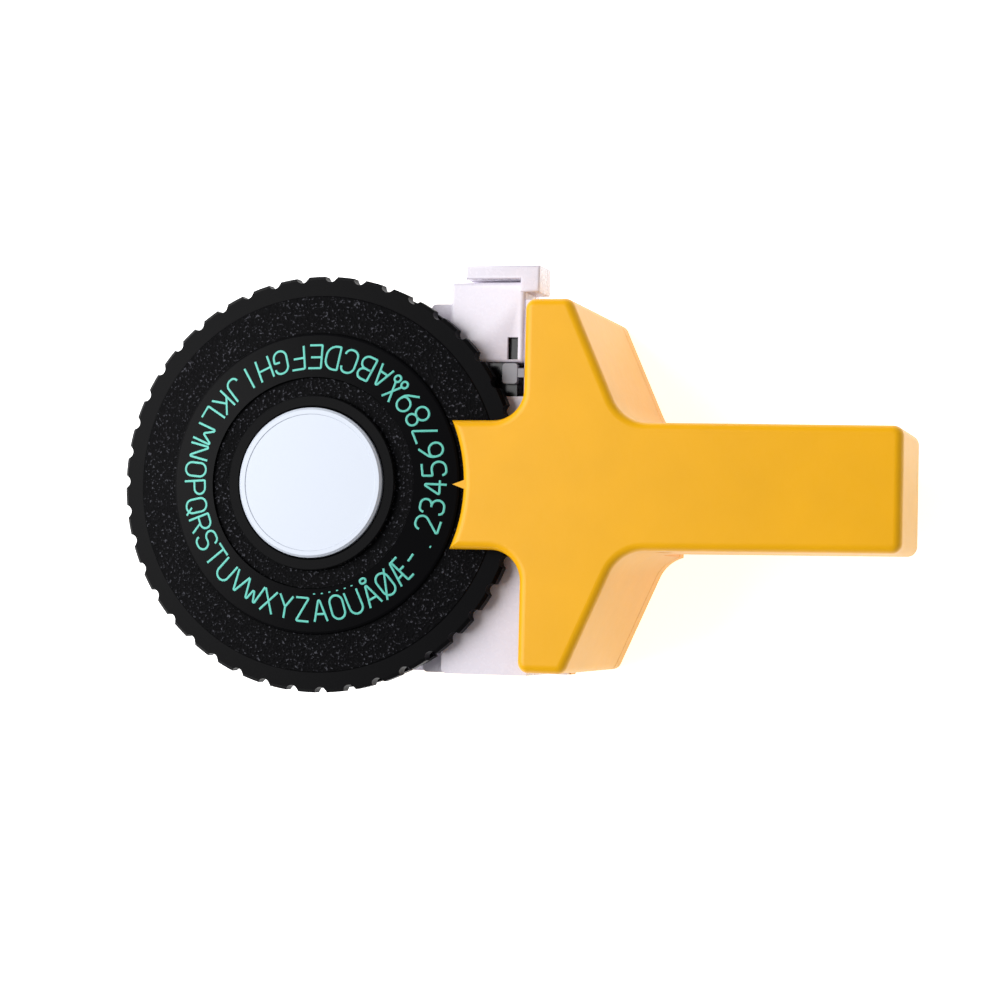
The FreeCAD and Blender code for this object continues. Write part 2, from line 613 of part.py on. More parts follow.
def detent_pocket():
    """Pocket in the rear wall that grips both ends of the detent spring."""
    y, back_x = detent_place()
    return block(PUNCH_R - OVERCUT, back_x + DETENT_T, y - DETENT_HALF, y + DETENT_HALF,
                 PUNCH_BOTTOM + DETENT_INSET, PUNCH_TOP - DETENT_INSET)


def detent_place():
    """The slit the spring's nose rests in, and the face its ends lie on."""
    return (PUNCH_R - DETENT_NOSE / 2) * math.sin(math.radians(PITCH / 2)), PUNCH_R + DETENT_NOSE / 2


def feed_axle_hole():
    return rod(FEED_AXLE_R + RUN, V(TAPE_X1, ROLLER_Y, ROLLER_Z), V(WING_REAR_X, ROLLER_Y, ROLLER_Z))


def exit_room():
    """Where the exit chute stands in the housing."""
    return block(HOUSING_FRONT_X, HOUSING_REAR_X - HOUSING_WALL, LUG_Y0 - HOUSING_MARGIN,
                 BODY_HALF + OVERCUT, CHUTE_BOTTOM, HEIGHT)


def door_room():
    """Opening of the door, with the bore and the room of its hinge."""
    x0, x1 = DOOR_X0 - SEAM, DOOR_X1 + SEAM
    opening = block(x0, x1, -BODY_HALF - OVERCUT, -BODY_HALF + HOUSING_WALL + SEAM,
                    DOOR_HINGE_Z - BARREL_R - SEAM, DOOR_TOP + SEAM)
    over = HINGE_PIN_OVER + SEAM
    bore = rod(HINGE_PIN_R, V(DOOR_X0 - over, HINGE_Y, DOOR_HINGE_Z),
               V(DOOR_X1 + over, HINGE_Y, DOOR_HINGE_Z))
    barrel = rod(BARREL_R + BARREL_ROOM, V(x0, HINGE_Y, DOOR_HINGE_Z), V(x1, HINGE_Y, DOOR_HINGE_Z))
    return opening.fuse([bore, barrel])


def exit_chute():
    chute = block(CHUTE_X0, CHUTE_X1, CHUTE_Y0, CHUTE_Y1, CHUTE_BOTTOM, CHUTE_TOP)
    chute = chute.makeFillet(CHUTE_EDGE_R, [e for e in chute.Edges if e.BoundBox.ZLength > OVERCUT
                                            or e.BoundBox.ZMin > CHUTE_TOP - RUN])
    chute = joined(chute, exit_lip())
    chute = chute.cut(drum(PUNCH_R + WHEEL_GAP, CHUTE_BOTTOM - OVERCUT, TAPE_TOP + GAP))
    x0, x1 = TAPE_X0 - BLADE_WAY, TAPE_X1 + BLADE_WAY
    slot = block(x0, x1, 0, LIP_Y0 + LIP_T + OVERCUT, TAPE_Z - GAP, TAPE_TOP + GAP)
    well = block(x0 - RUN, x1 + RUN, CUTTER_Y - BLADE_T - GAP, CUTTER_Y + SLIDER_T + GAP,
                 CHUTE_BOTTOM - OVERCUT, TAPE_Z)
    groove = block(x0, x1, CUTTER_Y - BLADE_T - SEAM, CUTTER_Y + SEAM, TAPE_Z, TAPE_Z + CUTTER_TRAVEL)
    window = block(WINDOW_X1 - WINDOW_W, WINDOW_X1, CHUTE_Y0 + GAP, CHUTE_Y0 + GAP + WINDOW_LONG,
                   TAPE_Z, HEIGHT)
    return chute.cut(slot).cut(well).cut(groove).cut(window).removeSplitter()


def exit_lip():
    """Lip beyond the chute's mouth, hooked back to it on the cover's side."""
    lip = block(LIP_X0, LIP_X1, LIP_Y0, LIP_Y0 + LIP_T, LIP_LOW, LIP_TOP)
    web = block(CHUTE_X1 - LIP_LAP, LIP_X1, CHUTE_Y1 - LIP_HOOK, LIP_Y0 + LIP_SLOT, LIP_LOW, LIP_TOP)
    foot = block(LIP_X0, LIP_X1, CHUTE_Y1 - LIP_LAP, LIP_Y0 + LIP_SLOT, LIP_LOW, LIP_LOW + LIP_FOOT)
    lip = joined(lip, web, foot)
    return lip.makeFillet(LIP_EDGE_R, [e for e in lip.Edges if e.BoundBox.ZMin > LIP_TOP - RUN])


def hold_down_finger():
    """Grey springy lug that keeps the tape flat before the chute."""
    low = TAPE_TOP + LUG_EASE
    top = CHUTE_TOP + LUG_EASE
    pad = block(WINDOW_X1 - LUG_W, WINDOW_X1, LUG_Y0, CHUTE_Y0 - SEAM, low, top)
    pad = pad.makeFillet(LUG_EDGE_R, [e for e in pad.Edges if e.BoundBox.ZLength > LUG_EDGE_R])
    middle = (LUG_Y0 + CHUTE_Y0) / 2
    stem = block(WINDOW_X1 - LUG_EDGE_R, HOUSING_REAR_X - HOUSING_WALL,
                 middle - LUG_STEM / 2, middle + LUG_STEM / 2, low, top - LUG_EASE)
    return joined(pad, stem)


def cutter_slider():
    half = TAPE_W / 2 + BLADE_WAY - LUG_EASE
    top = TAPE_Z - GAP - CUTTER_TRAVEL
    return block(TAPE_X - half, TAPE_X + half, CUTTER_Y + RUN / 2, CUTTER_Y + SLIDER_T, top - SLIDER_H, top)


def cutter_blade():
    """Steel blade with a skewed edge that rises past the end of the tape."""
    half = TAPE_W / 2 + BLADE_WAY / 2
    top = TAPE_Z - SEAM
    low = top - BLADE_H
    y = CUTTER_Y
    skew = [V(TAPE_X - half, y, low), V(TAPE_X + half, y, low),
            V(TAPE_X + half, y, top), V(TAPE_X - half, y, top - BLADE_SKEW)]
    return Part.Face(Part.makePolygon(skew + skew[:1])).extrude(V(0, -BLADE_T, 0))


# ---- Character wheel -------------------------------------------------------
def notch_cutters(radius, z0, z1):
    """One rounded notch between each pair of characters."""
    tool = drum(NOTCH_W / 2, z0, z1, radius - NOTCH_DEPTH + NOTCH_W / 2, 0)
    return [around_wheel(tool, (i + 0.5) * PITCH) for i in range(CHARACTERS)]


def die_disc():
    """Upper disc: toothed rim, raised band for the characters and hub ring."""
    crown = HEIGHT - BAND_CROWN
    valley = crown - BAND_STEP
    soft = BAND_STEP / 3
    profile = [
        (HUB_R, RIM_BOTTOM), (WHEEL_R - RIM_BEVEL, RIM_BOTTOM), (WHEEL_R, RIM_BOTTOM + RIM_BEVEL),
        (WHEEL_R, RIM_TOP - RIM_SHOULDER), (WHEEL_R - RIM_SHOULDER, RIM_TOP),
        (RIM_BAND_R + soft, RIM_TOP + soft), (RIM_BAND_R, RIM_TOP + 2 * soft),
        (BAND_OUTER_R + soft, RIM_TOP + BAND_RISE - 4 * soft),
        (BAND_OUTER_R, RIM_TOP + BAND_RISE - soft), (BAND_OUTER_R - 2 * soft, RIM_TOP + BAND_RISE),
        (BAND_INNER_R, crown), (BAND_INNER_R - soft, valley),
        (HUB_RING_R + soft, valley), (HUB_RING_R, HEIGHT - soft),
        (HUB_RING_R - soft, HEIGHT), (CAP_R + CAP_EDGE, HEIGHT), (CAP_R + CAP_RUN, HEIGHT - CAP_EDGE),
        (CAP_R + CAP_RUN, CAP_BOTTOM), (HUB_R, CAP_BOTTOM),
    ]
    relief = drum(FINGER_ROOT_R, RIM_BOTTOM - OVERCUT, RIM_BOTTOM + RIM_THICK / 2).cut(
        drum(HUB_R + HUB_SHOULDER, RIM_BOTTOM - OVERCUT, RIM_TOP))
    disc = turned(profile).cut(relief)
    disc = disc.cut(notch_cutters(WHEEL_R, RIM_BOTTOM - OVERCUT, RIM_TOP + OVERCUT))
    pocket = block(DIE_R - DIE_LONG / 2, DIE_R + DIE_LONG / 2, -DIE_WIDE / 2, DIE_WIDE / 2,
                   RIM_BOTTOM - OVERCUT, RIM_BOTTOM + DIE_DEEP)
    return disc.cut([around_wheel(pocket, i * PITCH) for i in range(CHARACTERS)])


def punch_disc():
    """Lower disc, slit into one spring finger for each character."""
    low, high = PUNCH_BOTTOM - OVERCUT, PUNCH_TOP + OVERCUT
    disc = drum(PUNCH_R, PUNCH_BOTTOM, PUNCH_TOP).cut(drum(HUB_R, low, high))
    slit = block(FINGER_ROOT_R, WHEEL_R, -FINGER_SLIT / 2, FINGER_SLIT / 2, low, high)
    disc = disc.cut([around_wheel(slit, (i + 0.5) * PITCH) for i in range(CHARACTERS)])
    relief = drum(FINGER_ROOT_R - OVERCUT, PUNCH_TOP - FINGER_RELIEF, high).cut(
        drum(HUB_R + HUB_SHOULDER, low, high))
    return disc.cut(relief)


def wheel_hub():
    """Bush that ties the two discs together and turns on the spindle."""
    top = CAP_BOTTOM - GAP
    hub = drum(HUB_R, HUB_BOTTOM, top).cut(drum(SPINDLE_R + RUN, 0, HEIGHT))
    return hub.cut(drum(SPINDLE_R + CLIP_OVER + OVERCUT, top - CLIP_OVER, HEIGHT))


def centre_cap():
    edge = CAP_TOP - CAP_EDGE
    face = CAP_TOP - CAP_SINK
    lip_r = CAP_R - CAP_EDGE
    return turned([(0, CAP_BOTTOM), (CAP_R, CAP_BOTTOM), (CAP_R, edge), (lip_r, CAP_TOP),
                   (lip_r - CAP_LIP, CAP_TOP), (lip_r - CAP_LIP - CAP_SINK, face), (0, face)])


def wheel_spindle():
    """Spindle the hub turns on, with a groove for its clip."""
    shaft = drum(SPINDLE_R, COVER_BOTTOM, CAP_BOTTOM - GAP)
    groove = drum(SPINDLE_R + OVERCUT, spindle_clip_z(), spindle_clip_z() + CLIP_T)
    return shaft.cut(groove.cut(drum(SPINDLE_R - CLIP_GROOVE, 0, HEIGHT)))


def spindle_clip_z():
    return CAP_BOTTOM - CLIP_OVER


def spindle_clip():
    """Spring-steel clip in the spindle's groove, open on one side."""
    z = spindle_clip_z()
    clip = drum(SPINDLE_R + CLIP_OVER, z, z + CLIP_T).cut(drum(SPINDLE_R - CLIP_GROOVE, 0, HEIGHT))
    return clip.cut(block(0, HUB_R, -CLIP_MOUTH, CLIP_MOUTH, 0, HEIGHT))


def detent_spring():
    """Leaf spring whose bent nose clicks into the slits of the punch disc."""
    y0, back_x = detent_place()
    z0 = PUNCH_BOTTOM + DETENT_INSET
    near = [V(back_x, y0 - DETENT_HALF, z0), V(back_x, y0 - DETENT_NOSE, z0), V(back_x - DETENT_NOSE, y0, z0),
            V(back_x, y0 + DETENT_NOSE, z0), V(back_x, y0 + DETENT_HALF, z0)]
    far = [p + V(DETENT_T, 0, 0) for p in reversed(near)]
    face = Part.Face(Part.makePolygon(near + far + near[:1]))
    return face.extrude(V(0, 0, PUNCH_THICK - 2 * DETENT_INSET))


# ---- Tape ------------------------------------------------------------------
def ring_on_peg(outer, inner):
    """Ring as wide as the tape, on the axis of the roll."""
    start, end = V(TAPE_X0, ROLL_Y, ROLL_Z), V(TAPE_X1, ROLL_Y, ROLL_Z)
    return rod(outer, start, end).cut(rod(inner, start - ALONG_X, end + ALONG_X))


def tape_core():
    return ring_on_peg(CORE_R, PEG_R + RUN)


def tape_roll():
    return ring_on_peg(ROLL_R, CORE_R)


def tape_strip():
    """Free tape: off the roll, over the feed roller, then flat to the cutter."""
    roll = V(0, ROLL_Y, ROLL_Z)
    roller = V(0, ROLLER_Y, ROLLER_Z)
    wrap_r = TAPE_Z - ROLLER_Z
    clear_r = ROLL_R + ROLL_SKIN
    across = roller - roll
    lean = math.atan2(across.z, across.y)
    normal = lean + math.acos((clear_r - wrap_r) / across.Length)
    out = V(0, math.cos(normal), math.sin(normal))
    middle = V(0, math.cos((normal + math.pi / 2) / 2), math.sin((normal + math.pi / 2) / 2))
    end_y = CUTTER_Y - BLADE_T - TAPE_OVER_ROLLER

    def line(offset):
        leave = roll + out * (clear_r + offset)
        touch = roller + out * (wrap_r + offset)
        top = roller + V(0, 0, wrap_r + offset)
        bend = roller + middle * (wrap_r + offset)
        return leave, touch, bend, top, V(0, end_y, top.z)

    near, far = line(0), line(TAPE_T)
    edges = [
        Part.LineSegment(near[0], near[1]), Part.Arc(near[1], near[2], near[3]),
        Part.LineSegment(near[3], near[4]), Part.LineSegment(near[4], far[4]),
        Part.LineSegment(far[4], far[3]), Part.Arc(far[3], far[2], far[1]),
        Part.LineSegment(far[1], far[0]), Part.LineSegment(far[0], near[0]),
    ]
    strip = Part.Face(Part.Wire([e.toShape() for e in edges])).extrude(V(TAPE_W, 0, 0))
    strip.translate(V(TAPE_X0, 0, 0))
    return strip


# ---- Feed ------------------------------------------------------------------
def feed_roller():
    start, end = V(ROLLER_X0, ROLLER_Y, ROLLER_Z), V(ROLLER_X0 + ROLLER_W, ROLLER_Y, ROLLER_Z)
    return rod(ROLLER_R, start, end).cut(rod(FEED_AXLE_R + RUN, start - ALONG_X, end + ALONG_X))


def feed_axle():
    return rod(FEED_AXLE_R, V(TAPE_X - ROLLER_W / 2 + GAP, ROLLER_Y, ROLLER_Z),
               V(BRACKET_X + BRACKET_T + GAP, ROLLER_Y, ROLLER_Z))


def gear_tooth(root, tip, half):
    """One trapezoid tooth in YZ from (root, 0) towards (tip, 0)."""
    return [(root, -half * TOOTH_ROOT), (tip, -half * TOOTH_TIP),
            (tip, half * TOOTH_TIP), (root, half * TOOTH_ROOT)]


def tooth_solid(outline, y, z):
    points = [V(RACK_X - RACK_W / 2, y + dy, z + dz) for dy, dz in outline]
    return Part.Face(Part.makePolygon(points + points[:1])).extrude(V(RACK_W, 0, 0))


def feed_pinion():
    start = V(RACK_X - RACK_W / 2, ROLLER_Y, ROLLER_Z)
    end = start + V(RACK_W, 0, 0)
    gear = rod(GEAR_ROOT_R, start, end)
    outline = gear_tooth(GEAR_ROOT_R - TOOTH_LAP, GEAR_R + GEAR_MODULE * GEAR_TIP, TOOTH_HALF)
    for i in range(GEAR_TEETH):
        tooth = tooth_solid(outline, ROLLER_Y, ROLLER_Z)
        tooth.rotate(start, ALONG_X, i * 360.0 / GEAR_TEETH)
        gear = gear.fuse(tooth)
    return gear.cut(rod(FEED_AXLE_R + RUN, start - ALONG_X, end + ALONG_X)).removeSplitter()


def feed_rack():
    """Rack lifted by the lever's side arm; its teeth turn the pinion."""
    x0 = RACK_X - RACK_W / 2
    foot = ARM_TOP - FEED_ARM_DROP + GAP
    rack = block(x0, x0 + RACK_W, RACK_BACK_Y, RACK_BACK_Y + RACK_T, foot, ROLLER_Z + RACK_OVER)
    step = GEAR_MODULE * math.pi
    travel = (RACK_X - PIVOT_X) * math.sin(math.radians(LEVER_TURN))
    first = -int((travel + RACK_OVER) / step) - 1
    last = int(RACK_OVER / step)
    outline = gear_tooth(TOOTH_LAP, -GEAR_MODULE * (GEAR_TIP + GEAR_ROOT), TOOTH_HALF)
    for i in range(first, last + 1):
        rack = rack.fuse(tooth_solid(outline, RACK_BACK_Y, ROLLER_Z + (i + 0.5) * step))
    return rack.removeSplitter()


# ---- Lever and hammer ------------------------------------------------------
def squeeze_lever():
    """Lower handle: a trough nested in the upper one, and the arm to its pivot."""
    tail_z = LEVER_BOTTOM + LEVER_BEND_UP
    side = [
        (V(LEVER_FRONT_X, 0, LEVER_BOTTOM), LEVER_EDGE_R),
        (V(LEVER_BEND_X, 0, LEVER_BOTTOM), LEVER_BELLY_R),
        (V(LEVER_END_X, 0, tail_z), LEVER_TAIL_R),
        (V(LEVER_END_X, 0, LEVER_TOP_REAR), LEVER_EDGE_R),
        (V(LEVER_BEND_X, 0, LEVER_TOP_REAR), LEVER_NEST_R),
        (V(LEVER_BEND_X - LEVER_NEST_LENGTH, 0, LEVER_TOP_FRONT), LEVER_NEST_R),
        (V(LEVER_FRONT_X, 0, LEVER_TOP_FRONT), LEVER_EDGE_R),
    ]
    inner_x0 = LEVER_FRONT_X + LEVER_FRONT_WALL
    inner_x1 = LEVER_END_X - LEVER_WALL
    inner = [
        (V(inner_x0, 0, LEVER_BOTTOM + LEVER_FLOOR), 0),
        (V(LEVER_BEND_X, 0, LEVER_BOTTOM + LEVER_FLOOR), LEVER_BELLY_R - LEVER_FLOOR),
        (V(inner_x1, 0, tail_z + LEVER_FLOOR), 0),
        (V(inner_x1, 0, HEIGHT), 0),
        (V(inner_x0, 0, HEIGHT), 0),
    ]
    handle = across(side, LEVER_HALF).cut(across(inner, LEVER_HALF - LEVER_WALL))
    arm = block(PIVOT_X, LEVER_FRONT_X + OVERCUT, -ARM_HALF, ARM_HALF, ARM_TOP - ARM_H, ARM_TOP)
    eye = rod(ARM_H / 2, V(PIVOT_X, -ARM_HALF, PIVOT_Z), V(PIVOT_X, ARM_HALF, PIVOT_Z))
    side_top = ARM_TOP - FEED_ARM_DROP
    feed_arm = block(FEED_ARM_X, FEED_ARM_X + FEED_ARM_W, ROLLER_Y + OVERCUT, SHELF_LAP - LEVER_HALF,
                     side_top - FEED_ARM_T, side_top)
    pad = drum(RETURN_SPRING_R + BOSS_WALL, LEVER_BOTTOM + OVERCUT, SPRING_PAD_Z, RETURN_SPRING_X)
    seat = drum(RETURN_SPRING_R - SPRING_WIRE, SPRING_PAD_Z - SPRING_PAD, SPRING_PAD_Z + LEVER_SEAT,
                RETURN_SPRING_X)
    lever = joined(handle, arm, eye, feed_arm, pad, seat)
    return lever.cut(rod(PIVOT_R + RUN, V(PIVOT_X, -ARM_WAY, PIVOT_Z), V(PIVOT_X, ARM_WAY, PIVOT_Z)))


def across(corners, half):
    """Prism on a side view, the same distance out on both sides."""
    shape = prism(corners, V(0, 2 * half, 0))
    shape.translate(V(0, -half, 0))
    return shape


def lever_pivot_pin():
    reach = RIB_Y + RIB
    return rod(PIVOT_R, V(PIVOT_X, -reach, PIVOT_Z), V(PIVOT_X, reach, PIVOT_Z))


def lever_return_spring():
    return coil(RETURN_SPRING_R, SPRING_WIRE, SPRING_PAD_Z + SPRING_EASE, TOP_INSIDE - SPRING_EASE,
                RETURN_SPRING_TURNS, RETURN_SPRING_X, 0)


def lever_stop_pin():
    reach = HANDLE_HALF - STOP_PIN_SINK
    return rod(STOP_PIN_R, V(STOP_PIN_X, -reach, STOP_PIN_Z), V(STOP_PIN_X, reach, STOP_PIN_Z))


def press_hammer():
    """Steel plunger: a wide foot on the lever's arm, a narrow head under the fingers."""
    stem = drum(HAMMER_R, HAMMER_FOOT, HAMMER_TOP, HAMMER_X)
    foot = drum(HAMMER_FOOT_R, HAMMER_FOOT + HAMMER_FOOT_LIFT, HAMMER_FOOT + HAMMER_FOOT_LIFT + HAMMER_FOOT_T,
                HAMMER_X)
    return joined(stem, foot)


def hammer_spring():
    """Small spring between the hammer's foot and the guide above it."""
    low = HAMMER_FOOT + HAMMER_FOOT_LIFT + HAMMER_FOOT_T + SPRING_EASE
    return coil(HAMMER_SPRING_R, HAMMER_WIRE, low, GUIDE_Z - SPRING_EASE,
                HAMMER_SPRING_TURNS, HAMMER_X, 0)


# ---- Door, pins and screws -------------------------------------------------
def tape_door():
    """Side door of the tape housing, with a hinge barrel and a finger groove."""
    panel = block(DOOR_X0, DOOR_X1, -BODY_HALF, -BODY_HALF + DOOR_T, DOOR_HINGE_Z, DOOR_TOP)
    barrel = rod(BARREL_R, V(DOOR_X0, HINGE_Y, DOOR_HINGE_Z), V(DOOR_X1, HINGE_Y, DOOR_HINGE_Z))
    pull_x = (DOOR_X0 + DOOR_X1) / 2
    pull_z = DOOR_TOP - PULL_DROP
    pull = block(pull_x - PULL_HALF, pull_x + PULL_HALF, -BODY_HALF - OVERCUT, -BODY_HALF + PULL_DEEP,
                 pull_z, pull_z + PULL_W)
    bore = rod(HINGE_PIN_R + RUN, V(DOOR_X0 - OVERCUT, HINGE_Y, DOOR_HINGE_Z),
               V(DOOR_X1 + OVERCUT, HINGE_Y, DOOR_HINGE_Z))
    return joined(panel, barrel).cut(pull).cut(bore)


def door_hinge_pin():
    return rod(HINGE_PIN_R, V(DOOR_X0 - HINGE_PIN_OVER, HINGE_Y, DOOR_HINGE_Z),
               V(DOOR_X1 + HINGE_PIN_OVER, HINGE_Y, DOOR_HINGE_Z))


def body_screws():
    """Four screws up through the base cover, with cross recesses."""
    screws = []
    for x, y in SCREW_SPOTS:
        head = drum(SCREW_HEAD_R, SCREW_SINK, SCREW_SINK + SCREW_HEAD_H, x, y)
        screw = joined(head, drum(SCREW_R, SCREW_SINK, SCREW_SINK + SCREW_LONG, x, y))
        for dx, dy in ((RECESS_HALF, RECESS_W), (RECESS_W, RECESS_HALF)):
            screw = screw.cut(block(x - dx, x + dx, y - dy, y + dy, 0, SCREW_SINK + RECESS_DEEP))
        screws.append(screw)
    return Part.makeCompound(screws)


PARTS = {
    "top_cover": top_cover,
    "base_cover": base_cover,
    "chassis": chassis,
    "exit_chute": exit_chute,
    "hold_down_finger": hold_down_finger,
    "cutter_slider": cutter_slider,
    "cutter_blade": cutter_blade,
    "die_disc": die_disc,
    "punch_disc": punch_disc,
    "wheel_hub": wheel_hub,
    "centre_cap": centre_cap,
    "wheel_spindle": wheel_spindle,
    "spindle_clip": spindle_clip,
    "detent_spring": detent_spring,
    "tape_core": tape_core,
    "tape_roll": tape_roll,
    "tape_strip": tape_strip,
    "feed_roller": feed_roller,
    "feed_axle": feed_axle,
    "feed_pinion": feed_pinion,
    "feed_rack": feed_rack,
    "squeeze_lever": squeeze_lever,
    "lever_pivot_pin": lever_pivot_pin,
    "lever_return_spring": lever_return_spring,
    "lever_stop_pin": lever_stop_pin,
    "press_hammer": press_hammer,
    "hammer_spring": hammer_spring,
    "tape_door": tape_door,
    "door_hinge_pin": door_hinge_pin,
    "body_screws": body_screws,
}

os.makedirs("parts", exist_ok=True)
for name, make in PARTS.items():
    shape = make()
    print(name, "solids", len(shape.Solids), "valid", shape.isValid(), "volume", round(shape.Volume, 1))
    shape.exportStep("parts/" + name + ".step")
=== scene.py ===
import math

import bmesh
import bpy
from mathutils import Matrix, Vector


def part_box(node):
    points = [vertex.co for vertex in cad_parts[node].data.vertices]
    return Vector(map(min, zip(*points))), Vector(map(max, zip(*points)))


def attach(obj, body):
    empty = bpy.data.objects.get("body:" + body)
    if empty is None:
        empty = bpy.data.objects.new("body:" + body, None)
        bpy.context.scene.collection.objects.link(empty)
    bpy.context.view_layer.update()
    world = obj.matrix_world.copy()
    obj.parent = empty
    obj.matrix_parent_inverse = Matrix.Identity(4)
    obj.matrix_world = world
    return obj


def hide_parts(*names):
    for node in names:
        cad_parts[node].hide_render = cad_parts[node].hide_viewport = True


bl_info = {
    "name": "Embossing Label Maker",
    "version": (1, 0, 0),
    "blender": (4, 5, 0),
    "location": "3D View > Sidebar > Label Maker",
    "description": "Dresses a hand-squeezed embossing label maker with a character wheel",
    "category": "Add Mesh",
}

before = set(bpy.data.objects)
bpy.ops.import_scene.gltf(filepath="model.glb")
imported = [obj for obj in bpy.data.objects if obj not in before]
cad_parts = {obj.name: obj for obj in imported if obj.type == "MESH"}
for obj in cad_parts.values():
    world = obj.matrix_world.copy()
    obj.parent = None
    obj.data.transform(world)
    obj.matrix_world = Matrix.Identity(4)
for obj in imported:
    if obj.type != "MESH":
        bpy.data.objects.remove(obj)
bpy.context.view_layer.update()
MM = 0.001


# ---- Colours ---------------------------------------------------------------
def to_linear(code):
    """An sRGB hex colour as the linear RGBA that shaders take."""
    shares = [int(code[i:i + 2], 16) / 255 for i in (1, 3, 5)]
    return tuple(c / 12.92 if c <= 0.04045 else ((c + 0.055) / 1.055) ** 2.4 for c in shares) + (1.0,)


def colour_setting(name, description, code):
    return bpy.props.FloatVectorProperty(
        name=name, description=description, subtype="COLOR", size=4, min=0, max=1, default=to_linear(code))


def length_setting(name, description, millimetres):
    return bpy.props.FloatProperty(
        name=name, description=description, default=millimetres * MM, unit="LENGTH", precision=5)


# ---- Places on the frame ---------------------------------------------------
COVER_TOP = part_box("top_cover")[1].z
BAND_TOP = COVER_TOP - 0.6 * MM  # the raised band at its inner edge
BAND_FOOT = COVER_TOP - 1.9 * MM  # the raised band at its outer edge
BAND_CHAMFER = 0.3 * MM  # left off the band's width, so the slope ends before the edge
INK_BUILD = 0.2  # how far the print stands up, as a share of the pen's own roundness


# ---- Places on the stage ---------------------------------------------------
CENTRE = Vector((30 * MM, 0, 20 * MM))  # the point that the key light aims at
KEY_OFFSET = Vector((-0.48, 0.1, 0.55))
KEY_SIZE = 0.74
KEY_POWER = 6.0
AIR_LIGHT = 0.28  # plain white light from all round
FLOOR_REACH = 3.0
CAMERA_PLACE = Vector((134.137, -17.836, 418.079)) * MM
CAMERA_AIM = Vector((30.05, -1.59, 40.0)) * MM


# ---- Settings --------------------------------------------------------------
class CasingSettings(bpy.types.PropertyGroup):
    yellow: colour_setting("Yellow", "Moulded ABS of the cover, base and lever", "#FDB800")
    white: colour_setting("White", "Moulded ABS of the tape housing and chute", "#ECE6F2")
    grain: length_setting("Grain", "Size of the faint ripple in the moulded faces", 1.1)
    edge: length_setting("Edge rounding", "Width of the rounding on the housing's edges", 0.25)


class WheelSettings(bpy.types.PropertyGroup):
    black: colour_setting("Black", "Moulded plastic of the two discs", "#060608")
    # painted sparkle: grey specks that stand for glints on the grains of the textured rings
    painted_sparkle: colour_setting("Sparkle", "Bright grains of the textured rings", "#505057")
    grit: length_setting("Grit", "Size of the grains on the textured rings", 0.42)
    characters: bpy.props.IntProperty(
        name="Characters", description="Places round the wheel", default=43, min=12, max=80)
    rim_in: length_setting("Rim line", "Radius of the line inside the smooth rim", 29.7)
    band_out: length_setting("Band outside", "Outer radius of the raised band", 23.7)
    band_in: length_setting("Band inside", "Inner radius of the raised band", 16.7)
    hub_out: length_setting("Hub ring", "Outer radius of the hub ring", 13.75)
    cap: colour_setting("Cap", "Anodised cap in the middle", "#D6DDEA")


class LetterSettings(bpy.types.PropertyGroup):
    ink: colour_setting("Ink", "Printed characters", "#6AD6C5")
    height: length_setting("Height", "Height of a character", 3.7)
    width: length_setting("Width", "Width of a character", 2.15)
    stroke: length_setting("Stroke", "Width of the pen line", 0.34)
    top: length_setting("Top radius", "Radius that the tops of the characters reach", 18.1)
    first: bpy.props.FloatProperty(
        name="First place", description="Angle of the first character", default=math.radians(-1.5),
        subtype="ANGLE")


class WorksSettings(bpy.types.PropertyGroup):
    # near black as painted shade: the tape in the chute window reads as a dark slot
    tape_colour_and_slot_shade: colour_setting("Vinyl", "Glossy embossing tape", "#0B0B0E")
    winding: length_setting("Winding", "Distance between the turns of the tape", 0.25)
    gap: length_setting("Air", "Air between two turns of the tape", 0.05)


class StageSettings(bpy.types.PropertyGroup):
    floor: colour_setting("Floor", "Plain white floor", "#FFFFFF")
    glow: bpy.props.FloatProperty(name="Glow", description="Light from the acrylic floor", default=0.8)
    lens: bpy.props.FloatProperty(
        name="Lens", description="Focal length on a 36 mm sensor", default=92.8, subtype="DISTANCE_CAMERA")
    roll: bpy.props.FloatProperty(
        name="Roll", description="Turn of the camera about its own axis", default=math.radians(1.36),
        subtype="ANGLE")


# ---- Shader helpers --------------------------------------------------------
def add(tree, kind, inputs=None, **settings):
    """One node, with its settings, and its inputs set or linked."""
    node = tree.nodes.new(kind)
    for name, value in settings.items():
        setattr(node, name, value)
    for name, value in (inputs or {}).items():
        socket = node.inputs[name]
        if isinstance(value, bpy.types.NodeSocket):
            tree.links.new(value, socket)
        else:
            socket.default_value = value
    return node


def new_material(name):
    material = bpy.data.materials.new(name)
    material.use_nodes = True
    tree = material.node_tree
    shader = tree.nodes["Principled BSDF"]
    return material, tree, shader


